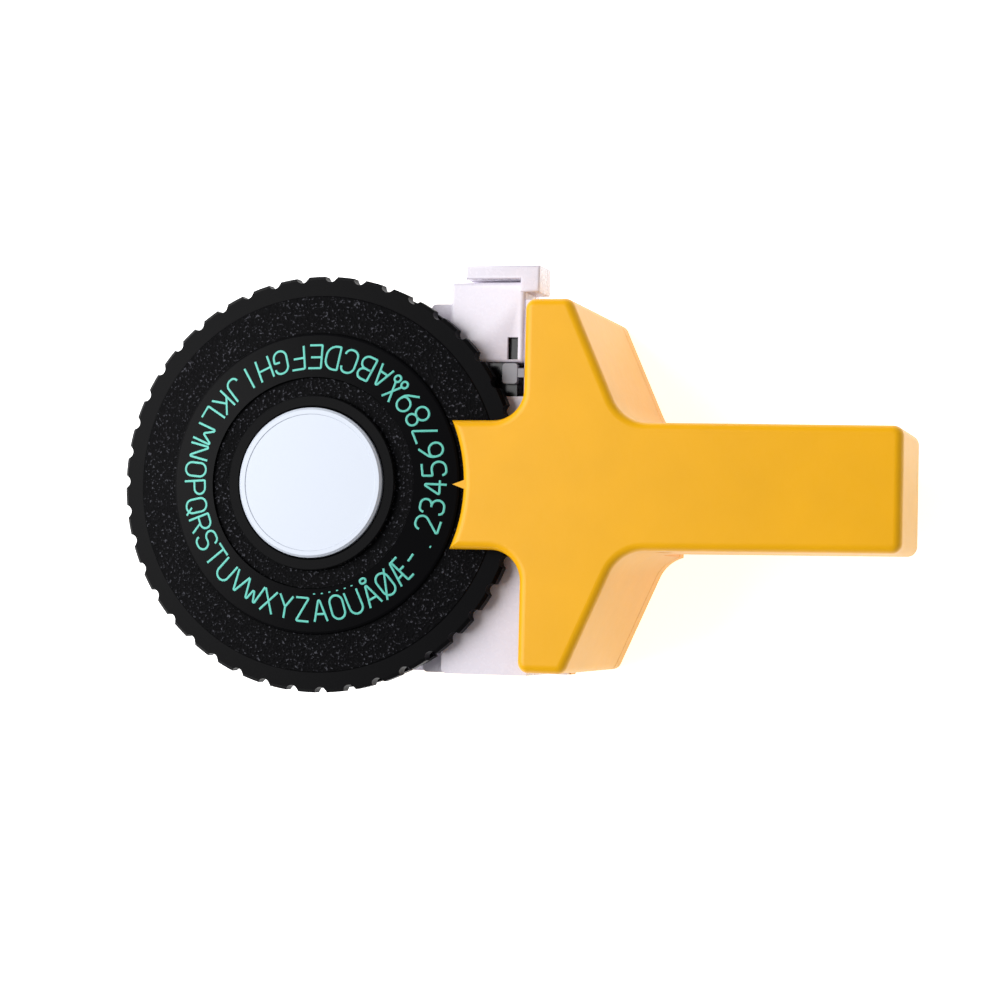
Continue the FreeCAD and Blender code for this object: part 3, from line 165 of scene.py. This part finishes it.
def moulded_plastic(name, colour, grain, roughness, ripple):
    """ABS from a polished mould: even colour, a soft gloss and a faint ripple."""
    material, tree, shader = new_material(name)
    place = add(tree, "ShaderNodeTexCoord").outputs["Object"]
    wave = add(tree, "ShaderNodeTexNoise",
               {"Vector": place, "Scale": 1 / grain, "Detail": 3.0, "Roughness": 0.6})
    cloud = add(tree, "ShaderNodeTexNoise", {"Vector": place, "Scale": 0.12 / grain, "Detail": 2.0})
    shade = add(tree, "ShaderNodeMapRange", {"Value": cloud.outputs["Fac"], "To Min": 0.93, "To Max": 1.06})
    tint = add(tree, "ShaderNodeMix", {"Factor": 1.0}, data_type="RGBA", blend_type="MULTIPLY")
    tint.inputs["A"].default_value = colour
    tree.links.new(shade.outputs["Result"], tint.inputs["B"])
    tree.links.new(tint.outputs["Result"], shader.inputs["Base Color"])
    rough = add(tree, "ShaderNodeMapRange",
                {"Value": wave.outputs["Fac"], "To Min": roughness - 0.04, "To Max": roughness + 0.06})
    tree.links.new(rough.outputs["Result"], shader.inputs["Roughness"])
    bump = add(tree, "ShaderNodeBump",
               {"Height": wave.outputs["Fac"], "Strength": ripple, "Distance": 0.05 * MM})
    tree.links.new(bump.outputs["Normal"], shader.inputs["Normal"])
    shader.inputs["IOR"].default_value = 1.53
    return material


def yellow_abs(settings):
    material = moulded_plastic("yellow_moulded_abs", settings.yellow, settings.grain, 0.34, 0.25)
    shader = material.node_tree.nodes["Principled BSDF"]
    shader.inputs["Subsurface Weight"].default_value = 0.02
    shader.inputs["Subsurface Radius"].default_value = (1.2 * MM, 0.9 * MM, 0.2 * MM)
    shader.inputs["Specular IOR Level"].default_value = 0.3
    return material


def white_abs(settings):
    material = moulded_plastic("white_moulded_abs", settings.white, settings.grain, 0.26, 0.2)
    shader = material.node_tree.nodes["Principled BSDF"]
    shader.inputs["Subsurface Weight"].default_value = 0.1
    shader.inputs["Subsurface Radius"].default_value = (1.5 * MM, 1.3 * MM, 1.2 * MM)
    return material


def black_wheel_plastic(settings):
    """Black moulding with spark-eroded rings between smooth bands; the grey specks on the rings are painted
    sparkle.
    """
    material, tree, shader = new_material("black_spark_textured_plastic")
    place = add(tree, "ShaderNodeTexCoord").outputs["Object"]
    flat = add(tree, "ShaderNodeVectorMath", {0: place, 1: (1.0, 1.0, 0.0)}, operation="MULTIPLY")
    length = add(tree, "ShaderNodeVectorMath", {0: flat.outputs["Vector"]}, operation="LENGTH")
    radius = length.outputs["Value"]

    def ring(inner, outer):
        over = add(tree, "ShaderNodeMath", {0: radius, 1: inner}, operation="GREATER_THAN")
        under = add(tree, "ShaderNodeMath", {0: radius, 1: outer}, operation="LESS_THAN")
        both = add(tree, "ShaderNodeMath", {0: over.outputs[0], 1: under.outputs[0]}, operation="MULTIPLY")
        return both.outputs[0]

    textured = add(tree, "ShaderNodeMath", {
        0: ring(settings.hub_out, settings.band_in - 0.1 * MM),
        1: ring(settings.band_out + 0.15 * MM, settings.rim_in)}, operation="ADD").outputs[0]
    grain = add(tree, "ShaderNodeTexNoise",
                {"Vector": place, "Scale": 1 / settings.grit, "Detail": 2.0, "Roughness": 0.6})
    # Grey specks where the grain is high: painted sparkle, put into the base colour of the textured rings
    sparkle_dots = add(tree, "ShaderNodeMapRange",
                 {"Value": grain.outputs["Fac"], "From Min": 0.60, "From Max": 0.70})
    sparkle_mask = add(tree, "ShaderNodeMath", {0: sparkle_dots.outputs["Result"], 1: textured}, operation="MULTIPLY")
    colour = add(tree, "ShaderNodeMix", {"Factor": sparkle_mask.outputs[0]}, data_type="RGBA")
    colour.inputs["A"].default_value = settings.black
    colour.inputs["B"].default_value = settings.painted_sparkle
    tree.links.new(colour.outputs["Result"], shader.inputs["Base Color"])
    shader.inputs["Specular IOR Level"].default_value = 0.06
    rough = add(tree, "ShaderNodeMapRange", {"Value": textured, "To Min": 0.42, "To Max": 0.6})
    tree.links.new(rough.outputs["Result"], shader.inputs["Roughness"])
    pits = add(tree, "ShaderNodeMath", {0: grain.outputs["Fac"], 1: textured}, operation="MULTIPLY")
    bump = add(tree, "ShaderNodeBump", {"Height": pits.outputs[0], "Strength": 0.9, "Distance": 0.25 * MM})
    tree.links.new(bump.outputs["Normal"], shader.inputs["Normal"])
    shader.inputs["IOR"].default_value = 1.5
    return material


def anodised_cap(settings):
    """Satin anodised aluminium disc: even pale grey with a fine blasted grain."""
    material, tree, shader = new_material("satin_anodised_aluminium")
    place = add(tree, "ShaderNodeTexCoord").outputs["Object"]
    grain = add(tree, "ShaderNodeTexNoise", {"Vector": place, "Scale": 1 / (0.35 * MM), "Detail": 3.0})
    rough = add(tree, "ShaderNodeMapRange", {"Value": grain.outputs["Fac"], "To Min": 0.38, "To Max": 0.46})
    tree.links.new(rough.outputs["Result"], shader.inputs["Roughness"])
    shader.inputs["Base Color"].default_value = settings.cap
    shader.inputs["Metallic"].default_value = 0.1
    bump = add(tree, "ShaderNodeBump",
               {"Height": grain.outputs["Fac"], "Strength": 0.04, "Distance": 0.02 * MM})
    tree.links.new(bump.outputs["Normal"], shader.inputs["Normal"])
    return material


def printing_ink(settings):
    """Pad-printed ink: matt, a little uneven in cover."""
    material, tree, shader = new_material("mint_pad_printing_ink")
    place = add(tree, "ShaderNodeTexCoord").outputs["Object"]
    cover = add(tree, "ShaderNodeTexNoise", {"Vector": place, "Scale": 1 / (0.5 * MM), "Detail": 2.0})
    shade = add(tree, "ShaderNodeMapRange", {"Value": cover.outputs["Fac"], "To Min": 0.8, "To Max": 1.15})
    tint = add(tree, "ShaderNodeMix", {"Factor": 1.0}, data_type="RGBA", blend_type="MULTIPLY")
    tint.inputs["A"].default_value = settings.ink
    tree.links.new(shade.outputs["Result"], tint.inputs["B"])
    tree.links.new(tint.outputs["Result"], shader.inputs["Base Color"])
    shader.inputs["Roughness"].default_value = 0.5
    return material


def plain_steel():
    """Drawn steel wire and stampings: grey metal, satin, with small patches that shine more."""
    material, tree, shader = new_material("drawn_steel")
    place = add(tree, "ShaderNodeTexCoord").outputs["Object"]
    patches = add(tree, "ShaderNodeTexNoise", {"Vector": place, "Scale": 1 / (0.3 * MM), "Detail": 3.0})
    rough = add(tree, "ShaderNodeMapRange", {"Value": patches.outputs["Fac"], "To Min": 0.25, "To Max": 0.4})
    tree.links.new(rough.outputs["Result"], shader.inputs["Roughness"])
    shader.inputs["Base Color"].default_value = to_linear("#B9BABD")
    shader.inputs["Metallic"].default_value = 1.0
    return material


def soft_plastic(name, code, roughness, grain_mm):
    """Acetal or rubber: one colour with a fine matt grain."""
    material, tree, shader = new_material(name)
    place = add(tree, "ShaderNodeTexCoord").outputs["Object"]
    grain = add(tree, "ShaderNodeTexNoise", {"Vector": place, "Scale": 1 / (grain_mm * MM), "Detail": 3.0})
    rough = add(tree, "ShaderNodeMapRange",
                {"Value": grain.outputs["Fac"], "To Min": roughness - 0.05, "To Max": roughness + 0.08})
    tree.links.new(rough.outputs["Result"], shader.inputs["Roughness"])
    bump = add(tree, "ShaderNodeBump",
               {"Height": grain.outputs["Fac"], "Strength": 0.2, "Distance": 0.03 * MM})
    tree.links.new(bump.outputs["Normal"], shader.inputs["Normal"])
    shader.inputs["Base Color"].default_value = to_linear(code)
    return material


def tape_finish_and_slot_shade(settings):
    """Vinyl embossing tape: deep colour, glossy, with faint streaks. The near-black colour is also painted
    shade, so the tape in the chute window shows as a dark slot.
    """
    material, tree, shader = new_material("glossy_tape_and_slot_shade")
    place = add(tree, "ShaderNodeTexCoord").outputs["Object"]
    fine = add(tree, "ShaderNodeVectorMath", {0: place, 1: (8.0, 1.0, 1.0)}, operation="MULTIPLY")
    streaks = add(tree, "ShaderNodeTexNoise",
                  {"Vector": fine.outputs["Vector"], "Scale": 1 / (1.2 * MM), "Detail": 2.0})
    rough = add(tree, "ShaderNodeMapRange", {"Value": streaks.outputs["Fac"], "To Min": 0.14, "To Max": 0.24})
    tree.links.new(rough.outputs["Result"], shader.inputs["Roughness"])
    shader.inputs["Base Color"].default_value = settings.tape_colour_and_slot_shade
    return material


# ---- Mesh helpers ----------------------------------------------------------
MERGE_GAP = 0.002 * MM
FLAT_ANGLE = math.radians(1.0)  # faces that turn less than this become one
EDGE_ANGLE = math.radians(50)  # edges that turn more than this are rounded


def new_piece(name, mesh, material, body, stands_for=()):
    """A finished piece at the origin, riding on its body."""
    piece = bpy.data.objects.new(name, mesh)
    bpy.context.scene.collection.objects.link(piece)
    mesh.materials.clear()
    mesh.materials.append(material)
    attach(piece, body)
    if stands_for:
        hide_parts(*stands_for)
    return piece


def dress(node, material):
    """Puts a finish on a CAD part that keeps its own shape."""
    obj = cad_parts[node]
    obj.data.materials.clear()
    obj.data.materials.append(material)


def shade_by_angle(mesh, degrees=35):
    mesh.polygons.foreach_set("use_smooth", [True] * len(mesh.polygons))
    mesh.set_sharp_from_angle(angle=math.radians(degrees))


def line_mesh(name, strokes):
    """Pen lines as one mesh of edges; each point keeps the radius of its corner."""
    points, edges, corners = [], [], []
    for line, closed in strokes:
        first = len(points)
        for x, y, z, corner in line:
            points.append((x, y, z))
            corners.append(corner)
        edges += [(i, i + 1) for i in range(first, len(points) - 1)]
        if closed:
            edges.append((len(points) - 1, first))
    mesh = bpy.data.meshes.new(name)
    mesh.from_pydata(points, edges, [])
    mesh.attributes.new("corner", "FLOAT", "POINT").data.foreach_set("value", corners)
    return mesh


def new_tree(name, sizes):
    """Geometry Nodes group with a named number for each size, a finish, and its ends."""
    tree = bpy.data.node_groups.new(name, "GeometryNodeTree")
    tree.interface.new_socket(name="Geometry", in_out="INPUT", socket_type="NodeSocketGeometry")
    for size in sizes:
        tree.interface.new_socket(name=size, in_out="INPUT", socket_type="NodeSocketFloat")
    tree.interface.new_socket(name="Finish", in_out="INPUT", socket_type="NodeSocketMaterial")
    tree.interface.new_socket(name="Geometry", in_out="OUTPUT", socket_type="NodeSocketGeometry")
    return tree, add(tree, "NodeGroupInput").outputs


def end_tree(tree, geometry, finish):
    """Every group ends by making its copies real and giving them their material."""
    real = add(tree, "GeometryNodeRealizeInstances", {"Geometry": geometry})
    painted = add(tree, "GeometryNodeSetMaterial", {"Geometry": real.outputs["Geometry"], "Material": finish})
    add(tree, "NodeGroupOutput", {"Geometry": painted.outputs["Geometry"]})


def grown(name, seed, tree, values):
    """Runs a group on a seed mesh with its inputs set, and keeps the plain mesh."""
    holder = bpy.data.objects.new(name + "_seed", seed)
    bpy.context.scene.collection.objects.link(holder)
    modifier = holder.modifiers.new(name, "NODES")
    modifier.node_group = tree
    for item in tree.interface.items_tree:
        if item.in_out == "INPUT" and item.name in values:
            modifier[item.identifier] = values[item.name]
    graph = bpy.context.evaluated_depsgraph_get()
    mesh = bpy.data.meshes.new_from_object(holder.evaluated_get(graph), depsgraph=graph)
    holder.modifiers.remove(modifier)
    bpy.data.objects.remove(holder)
    bpy.data.meshes.remove(seed)
    mesh.name = name
    return mesh


def combined(tree, operation, first, second):
    return add(tree, "ShaderNodeMath", {0: first, 1: second}, operation=operation).outputs[0]


def bevelled_copy(node, width):
    """Copy of a CAD part with a small rounding on its sharp edges."""
    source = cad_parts[node]
    holder = bpy.data.objects.new(node + "_rounded", source.data.copy())
    bpy.context.scene.collection.objects.link(holder)
    bm = bmesh.new()
    bm.from_mesh(holder.data)
    bmesh.ops.remove_doubles(bm, verts=bm.verts, dist=MERGE_GAP)
    bmesh.ops.dissolve_limit(bm, angle_limit=FLAT_ANGLE, verts=bm.verts, edges=bm.edges)
    bm.to_mesh(holder.data)
    bm.free()
    bevel = holder.modifiers.new("rounding", "BEVEL")
    bevel.width = width
    bevel.segments = 2
    bevel.limit_method = "ANGLE"
    bevel.angle_limit = EDGE_ANGLE
    bevel.use_clamp_overlap = True
    graph = bpy.context.evaluated_depsgraph_get()
    mesh = bpy.data.meshes.new_from_object(holder.evaluated_get(graph), depsgraph=graph)
    holder.modifiers.remove(bevel)
    bpy.data.objects.remove(holder)
    shade_by_angle(mesh, 40)
    return mesh


# ---- Characters on the wheel -----------------------------------------------
# Each pen line lists "x,y,corner" on this grid; "*" closes it.
GRID_WIDE = 4
GRID_HIGH = 8
SHARP = 0.3  # corner of a pen line that states none
GLYPHS = {
    "A": ("0,0 2,8 4,0", "0.75,2.5 3.25,2.5"),
    "B": ("0,4.3 0,8 3.7,8,1.8 3.7,4.3,1.8 0,4.3", "0,4.3 4,4.3,2 4,0,2 0,0 0,4.3"),
    "C": ("4,6.1 4,8,2 0,8,2 0,0,2 4,0,2 4,1.9",),
    "D": ("*0,0 0,8 4,8,2.8 4,0,2.8",),
    "E": ("3.9,8 0,8 0,0 3.9,0", "0,4.2 3.3,4.2"),
    "F": ("3.9,8 0,8 0,0", "0,4.2 3.3,4.2"),
    "G": ("4,6.1 4,8,2 0,8,2 0,0,2 4,0,2 4,3.9 2.3,3.9",),
    "H": ("0,0 0,8", "4,0 4,8", "0,4.2 4,4.2"),
    "I": ("2,0 2,8",),
    "J": ("3.6,8 3.6,0,2 0,0,2 0,1.8",),
    "K": ("0,0 0,8", "3.9,8 0,3.3", "1.5,5.1 4,0"),
    "L": ("0,8 0,0 3.8,0",),
    "M": ("-0.3,0 -0.3,8 2,3.2 4.3,8 4.3,0",),
    "N": ("0,0 0,8 4,0 4,8",),
    "O": ("*0,0,2 0,8,2 4,8,2 4,0,2",),
    "P": ("0,0 0,8 4,8,2.1 4,3.8,2.1 0,3.8",),
    "Q": ("*0,0,2 0,8,2 4,8,2 4,0,2", "2.3,2.1 4.3,-0.4"),
    "R": ("0,0 0,8 4,8,2 4,3.9,2 0,3.9", "2,3.9 4,0"),
    "S": ("4,6.3 4,8,2 0,8,2 0,4.2,1.9 4,4.2,1.9 4,0,2 0,0,2 0,1.7",),
    "T": ("-0.2,8 4.2,8", "2,8 2,0"),
    "U": ("0,8 0,0,2 4,0,2 4,8",),
    "V": ("-0.1,8 2,0 4.1,8",),
    "W": ("-0.7,8 0.6,0 2,5.6 3.4,0 4.7,8",),
    "X": ("0,0 4,8", "0,8 4,0"),
    "Y": ("-0.1,8 2,3.9 4.1,8", "2,3.9 2,0"),
    "Z": ("0,8 4,8 0,0 4,0",),
    "Ae": ("0,0 2,8 4,0", "0.75,2.5 3.25,2.5", "0.8,9.2 0.8,9.6", "3.2,9.2 3.2,9.6"),
    "Oe": ("*0,0,2 0,8,2 4,8,2 4,0,2", "0.8,9.3 0.8,9.7", "3.2,9.3 3.2,9.7"),
    "Ue": ("0,8 0,0,2 4,0,2 4,8", "0.9,9.2 0.9,9.6", "3.1,9.2 3.1,9.6"),
    "Aring": ("0,0 2,8 4,0", "0.75,2.5 3.25,2.5", "*1.1,8.3,0.8 1.1,9.9,0.8 2.9,9.9,0.8 2.9,8.3,0.8"),
    "Oslash": ("*0,0,2 0,8,2 4,8,2 4,0,2", "-0.4,-0.5 4.4,8.5"),
    "AE": ("-0.5,0 1.8,8 4.6,8", "2.3,8 2.3,0 4.6,0", "2.3,4.2 4.2,4.2", "0.2,2.5 2.3,2.5"),
    "-": ("0.7,4 3.3,4",),
    ".": ("2,0 2,0.5",),
    "2": ("0,6.2 0,8,2 4,8,2 4,5,2 0,0 4,0",),
    "3": ("0,6.6 0,8,1.9 3.8,8,1.9 3.8,4.3,1.8 1.7,4.3", "1.7,4.3 4,4.3,2 4,0,2 0,0,2 0,1.5"),
    "4": ("3,0 3,8 0,2.3 4.2,2.3",),
    "5": ("3.8,8 0.4,8 0.1,4.7 4,4.9,2 4,0,2 0,0,2 0,1.5",),
    "6": ("3.3,8 0,4.6,3 0,0,2 4,0,2 4,4.7,2 0.1,4.7,1.5 0.1,3.2",),
    "7": ("0,8 4,8 1.3,0",),
    "8": ("*0.3,4.3,1.7 0.3,8,1.7 3.7,8,1.7 3.7,4.3,1.7", "*0,0,2 0,4.3,2 4,4.3,2 4,0,2"),
    "9": ("0.7,0 4,3.4,3 4,8,2 0,8,2 0,3.3,2 3.9,3.3,1.5 3.9,4.8",),
    "scissors": ("0.7,2.2 3.4,9", "3.3,2.2 0.6,9", "*-0.3,0,1 -0.3,2.3,1 1.5,2.3,1 1.5,0,1",
                 "*2.5,0,1 2.5,2.3,1 4.3,2.3,1 4.3,0,1"),
}
ORDER = ("4 5 6 7 8 9 scissors A B C D E F G H I J K L M N O P Q R S T U V W X Y Z "
         "Ae Oe Ue Aring Oslash AE - . 2 3").split()


def glyph_strokes(name, angle, letters):
    """A character's pen lines, laid on the wheel with its top to the centre."""
    unit_x = letters.width / GRID_WIDE
    unit_y = letters.height / GRID_HIGH
    bottom = letters.top + letters.height
    strokes = []
    for text in GLYPHS[name]:
        line = []
        for point in text.lstrip("*").split():
            x, y, corner = ([float(n) for n in point.split(",")] + [SHARP])[:3]
            radius = bottom - y * unit_y
            side = (x - GRID_WIDE / 2) * unit_x
            line.append((radius * math.cos(angle) - side * math.sin(angle),
                         radius * math.sin(angle) + side * math.cos(angle), 0.0, corner * unit_x))
        strokes.append((line, text.startswith("*")))
    return strokes


def printed_tree():
    """Pen lines to flat print that follows the crown of the raised band."""
    tree, given = new_tree("printed_characters", ("Stroke", "Crown", "Crown radius", "Fall", "Build"))
    curve = add(tree, "GeometryNodeMeshToCurve", {"Mesh": given["Geometry"]})
    corner = add(tree, "GeometryNodeInputNamedAttribute", {"Name": "corner"}, data_type="FLOAT")
    rounded = add(tree, "GeometryNodeFilletCurve",
                  {"Curve": curve.outputs["Curve"], "Count": 6, "Radius": corner.outputs["Attribute"],
                   "Limit Radius": True}, mode="POLY")
    half = combined(tree, "MULTIPLY", given["Stroke"], 0.5)
    nib = add(tree, "GeometryNodeCurvePrimitiveCircle", {"Resolution": 8, "Radius": half})
    ink = add(tree, "GeometryNodeCurveToMesh",
              {"Curve": rounded.outputs["Curve"], "Profile Curve": nib.outputs["Curve"], "Fill Caps": True})
    place = add(tree, "GeometryNodeInputPosition").outputs["Position"]
    split = add(tree, "ShaderNodeSeparateXYZ", {"Vector": place})
    flat = add(tree, "ShaderNodeCombineXYZ", {"X": split.outputs["X"], "Y": split.outputs["Y"]})
    length = add(tree, "ShaderNodeVectorMath", {0: flat.outputs["Vector"]}, operation="LENGTH")
    out = combined(tree, "SUBTRACT", length.outputs["Value"], given["Crown radius"])
    surface = combined(tree, "SUBTRACT", given["Crown"], combined(tree, "MULTIPLY", out, given["Fall"]))
    build = combined(tree, "MULTIPLY", split.outputs["Z"], given["Build"])
    height = combined(tree, "ADD", surface, build)
    laid = add(tree, "ShaderNodeCombineXYZ", {"X": split.outputs["X"], "Y": split.outputs["Y"], "Z": height})
    moved = add(tree, "GeometryNodeSetPosition",
                {"Geometry": ink.outputs["Mesh"], "Position": laid.outputs["Vector"]})
    end_tree(tree, moved.outputs["Geometry"], given["Finish"])
    return tree


def spiral_tree():
    """Tape wound on its core: a flat strip swept along a spiral."""
    tree, given = new_tree(
        "wound_tape", ("Inner", "Outer", "Winding", "Air", "Width", "Along", "Across", "Up"))
    build = combined(tree, "SUBTRACT", given["Outer"], given["Inner"])
    turns = combined(tree, "DIVIDE", build, given["Winding"])
    thick = combined(tree, "SUBTRACT", given["Winding"], given["Air"])
    margin = combined(tree, "MULTIPLY", given["Winding"], 0.5)
    path = add(tree, "GeometryNodeCurveSpiral", {
        "Resolution": 64, "Rotations": turns, "Height": 0.0,
        "Start Radius": combined(tree, "ADD", given["Inner"], margin),
        "End Radius": combined(tree, "SUBTRACT", given["Outer"], margin)})
    section = add(tree, "GeometryNodeCurvePrimitiveQuadrilateral", {"Width": thick, "Height": given["Width"]})
    tape = add(tree, "GeometryNodeCurveToMesh", {
        "Curve": path.outputs["Curve"], "Profile Curve": section.outputs["Curve"], "Fill Caps": True})
    place = add(tree, "ShaderNodeCombineXYZ", {"X": given["Along"], "Y": given["Across"], "Z": given["Up"]})
    stood = add(tree, "GeometryNodeTransform", {
        "Geometry": tape.outputs["Mesh"], "Translation": place.outputs["Vector"],
        "Rotation": (0.0, math.pi / 2, 0.0)})
    end_tree(tree, stood.outputs["Geometry"], given["Finish"])
    return tree


# ---- Operators -------------------------------------------------------------
class LABELMAKER_OT_casing(bpy.types.Operator):
    """Finish the yellow covers, the lever and the white housing"""
    bl_idname = "labelmaker.casing"
    bl_label = "Casing"

    def execute(self, context):
        settings = context.scene.label_maker_casing
        yellow = yellow_abs(settings)
        white = white_abs(settings)
        for node in ("top_cover", "base_cover", "squeeze_lever"):
            dress(node, yellow)
        for node in ("chassis", "tape_core"):
            dress(node, white)
        for node, body in (("exit_chute", "frame"), ("tape_door", "door")):
            rounded = bevelled_copy(node, settings.edge)
            new_piece(node + "_rounded", rounded, white, body, (node,))
        return {"FINISHED"}


class LABELMAKER_OT_wheel(bpy.types.Operator):
    """Finish the two discs and the cap of the character wheel"""
    bl_idname = "labelmaker.wheel"
    bl_label = "Character wheel"

    def execute(self, context):
        settings = context.scene.label_maker_wheel
        black = black_wheel_plastic(settings)
        for node in ("die_disc", "punch_disc", "wheel_hub"):
            dress(node, black)
        dress("centre_cap", anodised_cap(settings))
        return {"FINISHED"}


class LABELMAKER_OT_letters(bpy.types.Operator):
    """Print the ring of characters on the wheel's raised band"""
    bl_idname = "labelmaker.letters"
    bl_label = "Characters"

    def execute(self, context):
        letters = context.scene.label_maker_letters
        wheel = context.scene.label_maker_wheel
        pitch = math.tau / wheel.characters
        strokes = []
        for i, name in enumerate(ORDER):
            strokes += glyph_strokes(name, letters.first + i * pitch, letters)
        fall = (BAND_TOP - BAND_FOOT) / (wheel.band_out - BAND_CHAMFER - wheel.band_in)
        ink = printing_ink(letters)
        mesh = grown("characters", line_mesh("pen_lines", strokes), printed_tree(), {
            "Stroke": letters.stroke, "Crown": BAND_TOP, "Crown radius": wheel.band_in, "Fall": fall,
            "Build": INK_BUILD, "Finish": ink})
        shade_by_angle(mesh, 30)
        new_piece("characters", mesh, ink, "wheel")
        return {"FINISHED"}


class LABELMAKER_OT_works(bpy.types.Operator):
    """Finish the small parts inside"""
    bl_idname = "labelmaker.works"
    bl_label = "Works"

    def execute(self, context):
        steel = plain_steel()
        acetal = soft_plastic("natural_acetal", "#E4E2DC", 0.45, 0.8)
        for node in ("wheel_spindle", "spindle_clip", "detent_spring", "feed_axle", "lever_pivot_pin",
                     "lever_return_spring", "lever_stop_pin", "hammer_spring", "door_hinge_pin",
                     "body_screws", "press_hammer", "cutter_blade"):
            dress(node, steel)
        for node in ("feed_pinion", "feed_rack", "cutter_slider"):
            dress(node, acetal)
        dress("hold_down_finger", soft_plastic("grey_acetal", "#9A9AA2", 0.4, 0.8))
        dress("feed_roller", soft_plastic("black_rubber", "#1B1B1D", 0.75, 0.5))
        settings = context.scene.label_maker_works
        # The near-black tape finish is also painted shade: the strip in the chute window reads as a dark
        # slot.
        tape = tape_finish_and_slot_shade(settings)
        dress("tape_strip", tape)
        low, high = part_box("tape_roll")
        core_low, core_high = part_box("tape_core")
        roll = grown("wound_tape", bpy.data.meshes.new("start"), spiral_tree(), {
            "Inner": (core_high.z - core_low.z) / 2, "Outer": (high.z - low.z) / 2,
            "Winding": settings.winding, "Air": settings.gap, "Width": high.x - low.x,
            "Along": (low.x + high.x) / 2, "Across": (low.y + high.y) / 2, "Up": (low.z + high.z) / 2,
            "Finish": tape})
        shade_by_angle(roll, 30)
        new_piece("wound_tape", roll, tape, "tape_reel", ("tape_roll",))
        return {"FINISHED"}


class LABELMAKER_OT_stage(bpy.types.Operator):
    """Make the floor, the studio light and the camera"""
    bl_idname = "labelmaker.stage"
    bl_label = "Stage"

    def execute(self, context):
        settings = context.scene.label_maker_stage
        make_floor(settings)
        make_lights()
        make_camera(settings)
        return {"FINISHED"}


def make_floor(settings):
    bm = bmesh.new()
    bmesh.ops.create_grid(bm, x_segments=8, y_segments=8, size=FLOOR_REACH)
    mesh = bpy.data.meshes.new("floor")
    bm.to_mesh(mesh)
    bm.free()
    floor = bpy.data.objects.new("floor", mesh)
    bpy.context.scene.collection.objects.link(floor)
    material, tree, shader = new_material("lit_white_acrylic")
    shader.inputs["Base Color"].default_value = settings.floor
    shader.inputs["Roughness"].default_value = 0.4
    shader.inputs["Emission Color"].default_value = settings.floor
    shader.inputs["Emission Strength"].default_value = settings.glow
    mesh.materials.append(material)


def make_key_light():
    data = bpy.data.lights.new("key_light", "AREA")
    data.shape = "DISK"
    data.size = KEY_SIZE
    data.energy = KEY_POWER
    lamp = bpy.data.objects.new("key_light", data)
    bpy.context.scene.collection.objects.link(lamp)
    lamp.location = CENTRE + KEY_OFFSET
    lamp.rotation_euler = (CENTRE - lamp.location).to_track_quat("-Z", "Y").to_euler()


def make_lights():
    """A large soft light from the front, over plain white air."""
    world = bpy.data.worlds.new("studio")
    bpy.context.scene.world = world
    world.use_nodes = True
    background = world.node_tree.nodes["Background"]
    background.inputs["Color"].default_value = to_linear("#FFFFFF")
    background.inputs["Strength"].default_value = AIR_LIGHT
    make_key_light()
    bpy.context.scene.view_settings.view_transform = "Standard"


def make_camera(settings):
    back = (CAMERA_PLACE - CAMERA_AIM).normalized()
    right = Vector((0, 1, 0)).cross(back).normalized()
    up = back.cross(right)
    turn = Matrix.Rotation(settings.roll, 3, back)
    basis = Matrix((turn @ right, turn @ up, back)).transposed()
    data = bpy.data.cameras.new("camera")
    data.lens = settings.lens
    data.sensor_width = 36.0
    data.clip_start = 0.01
    data.clip_end = 20.0
    camera = bpy.data.objects.new("camera", data)
    bpy.context.scene.collection.objects.link(camera)
    camera.matrix_world = Matrix.Translation(CAMERA_PLACE) @ basis.to_4x4()
    bpy.context.scene.camera = camera


class LABELMAKER_PT_panel(bpy.types.Panel):
    """Lists the steps that build the label maker"""
    bl_idname = "LABELMAKER_PT_panel"
    bl_label = "Label Maker"
    bl_space_type = "VIEW_3D"
    bl_region_type = "UI"
    bl_category = "Label Maker"

    def draw(self, context):
        for step in STEPS:
            self.layout.operator(step.bl_idname)
        for group in GROUPS.values():
            box = self.layout.box()
            for name in group.__annotations__:
                box.prop(getattr(context.scene, GROUP_NAMES[group]), name)


STEPS = (LABELMAKER_OT_stage, LABELMAKER_OT_casing, LABELMAKER_OT_wheel, LABELMAKER_OT_letters,
         LABELMAKER_OT_works)
GROUPS = {
    "label_maker_casing": CasingSettings,
    "label_maker_wheel": WheelSettings,
    "label_maker_letters": LetterSettings,
    "label_maker_works": WorksSettings,
    "label_maker_stage": StageSettings,
}
GROUP_NAMES = {group: name for name, group in GROUPS.items()}


def register():
    for cls in (*GROUPS.values(), *STEPS, LABELMAKER_PT_panel):
        bpy.utils.register_class(cls)
    for name, group in GROUPS.items():
        setattr(bpy.types.Scene, name, bpy.props.PointerProperty(type=group))


def unregister():
    for name in GROUPS:
        delattr(bpy.types.Scene, name)
    for cls in reversed((*GROUPS.values(), *STEPS, LABELMAKER_PT_panel)):
        bpy.utils.unregister_class(cls)


def main():
    register()
    for step in STEPS:
        category, name = step.bl_idname.split(".")
        getattr(getattr(bpy.ops, category), name)()


if __name__ == "__main__":
    main()
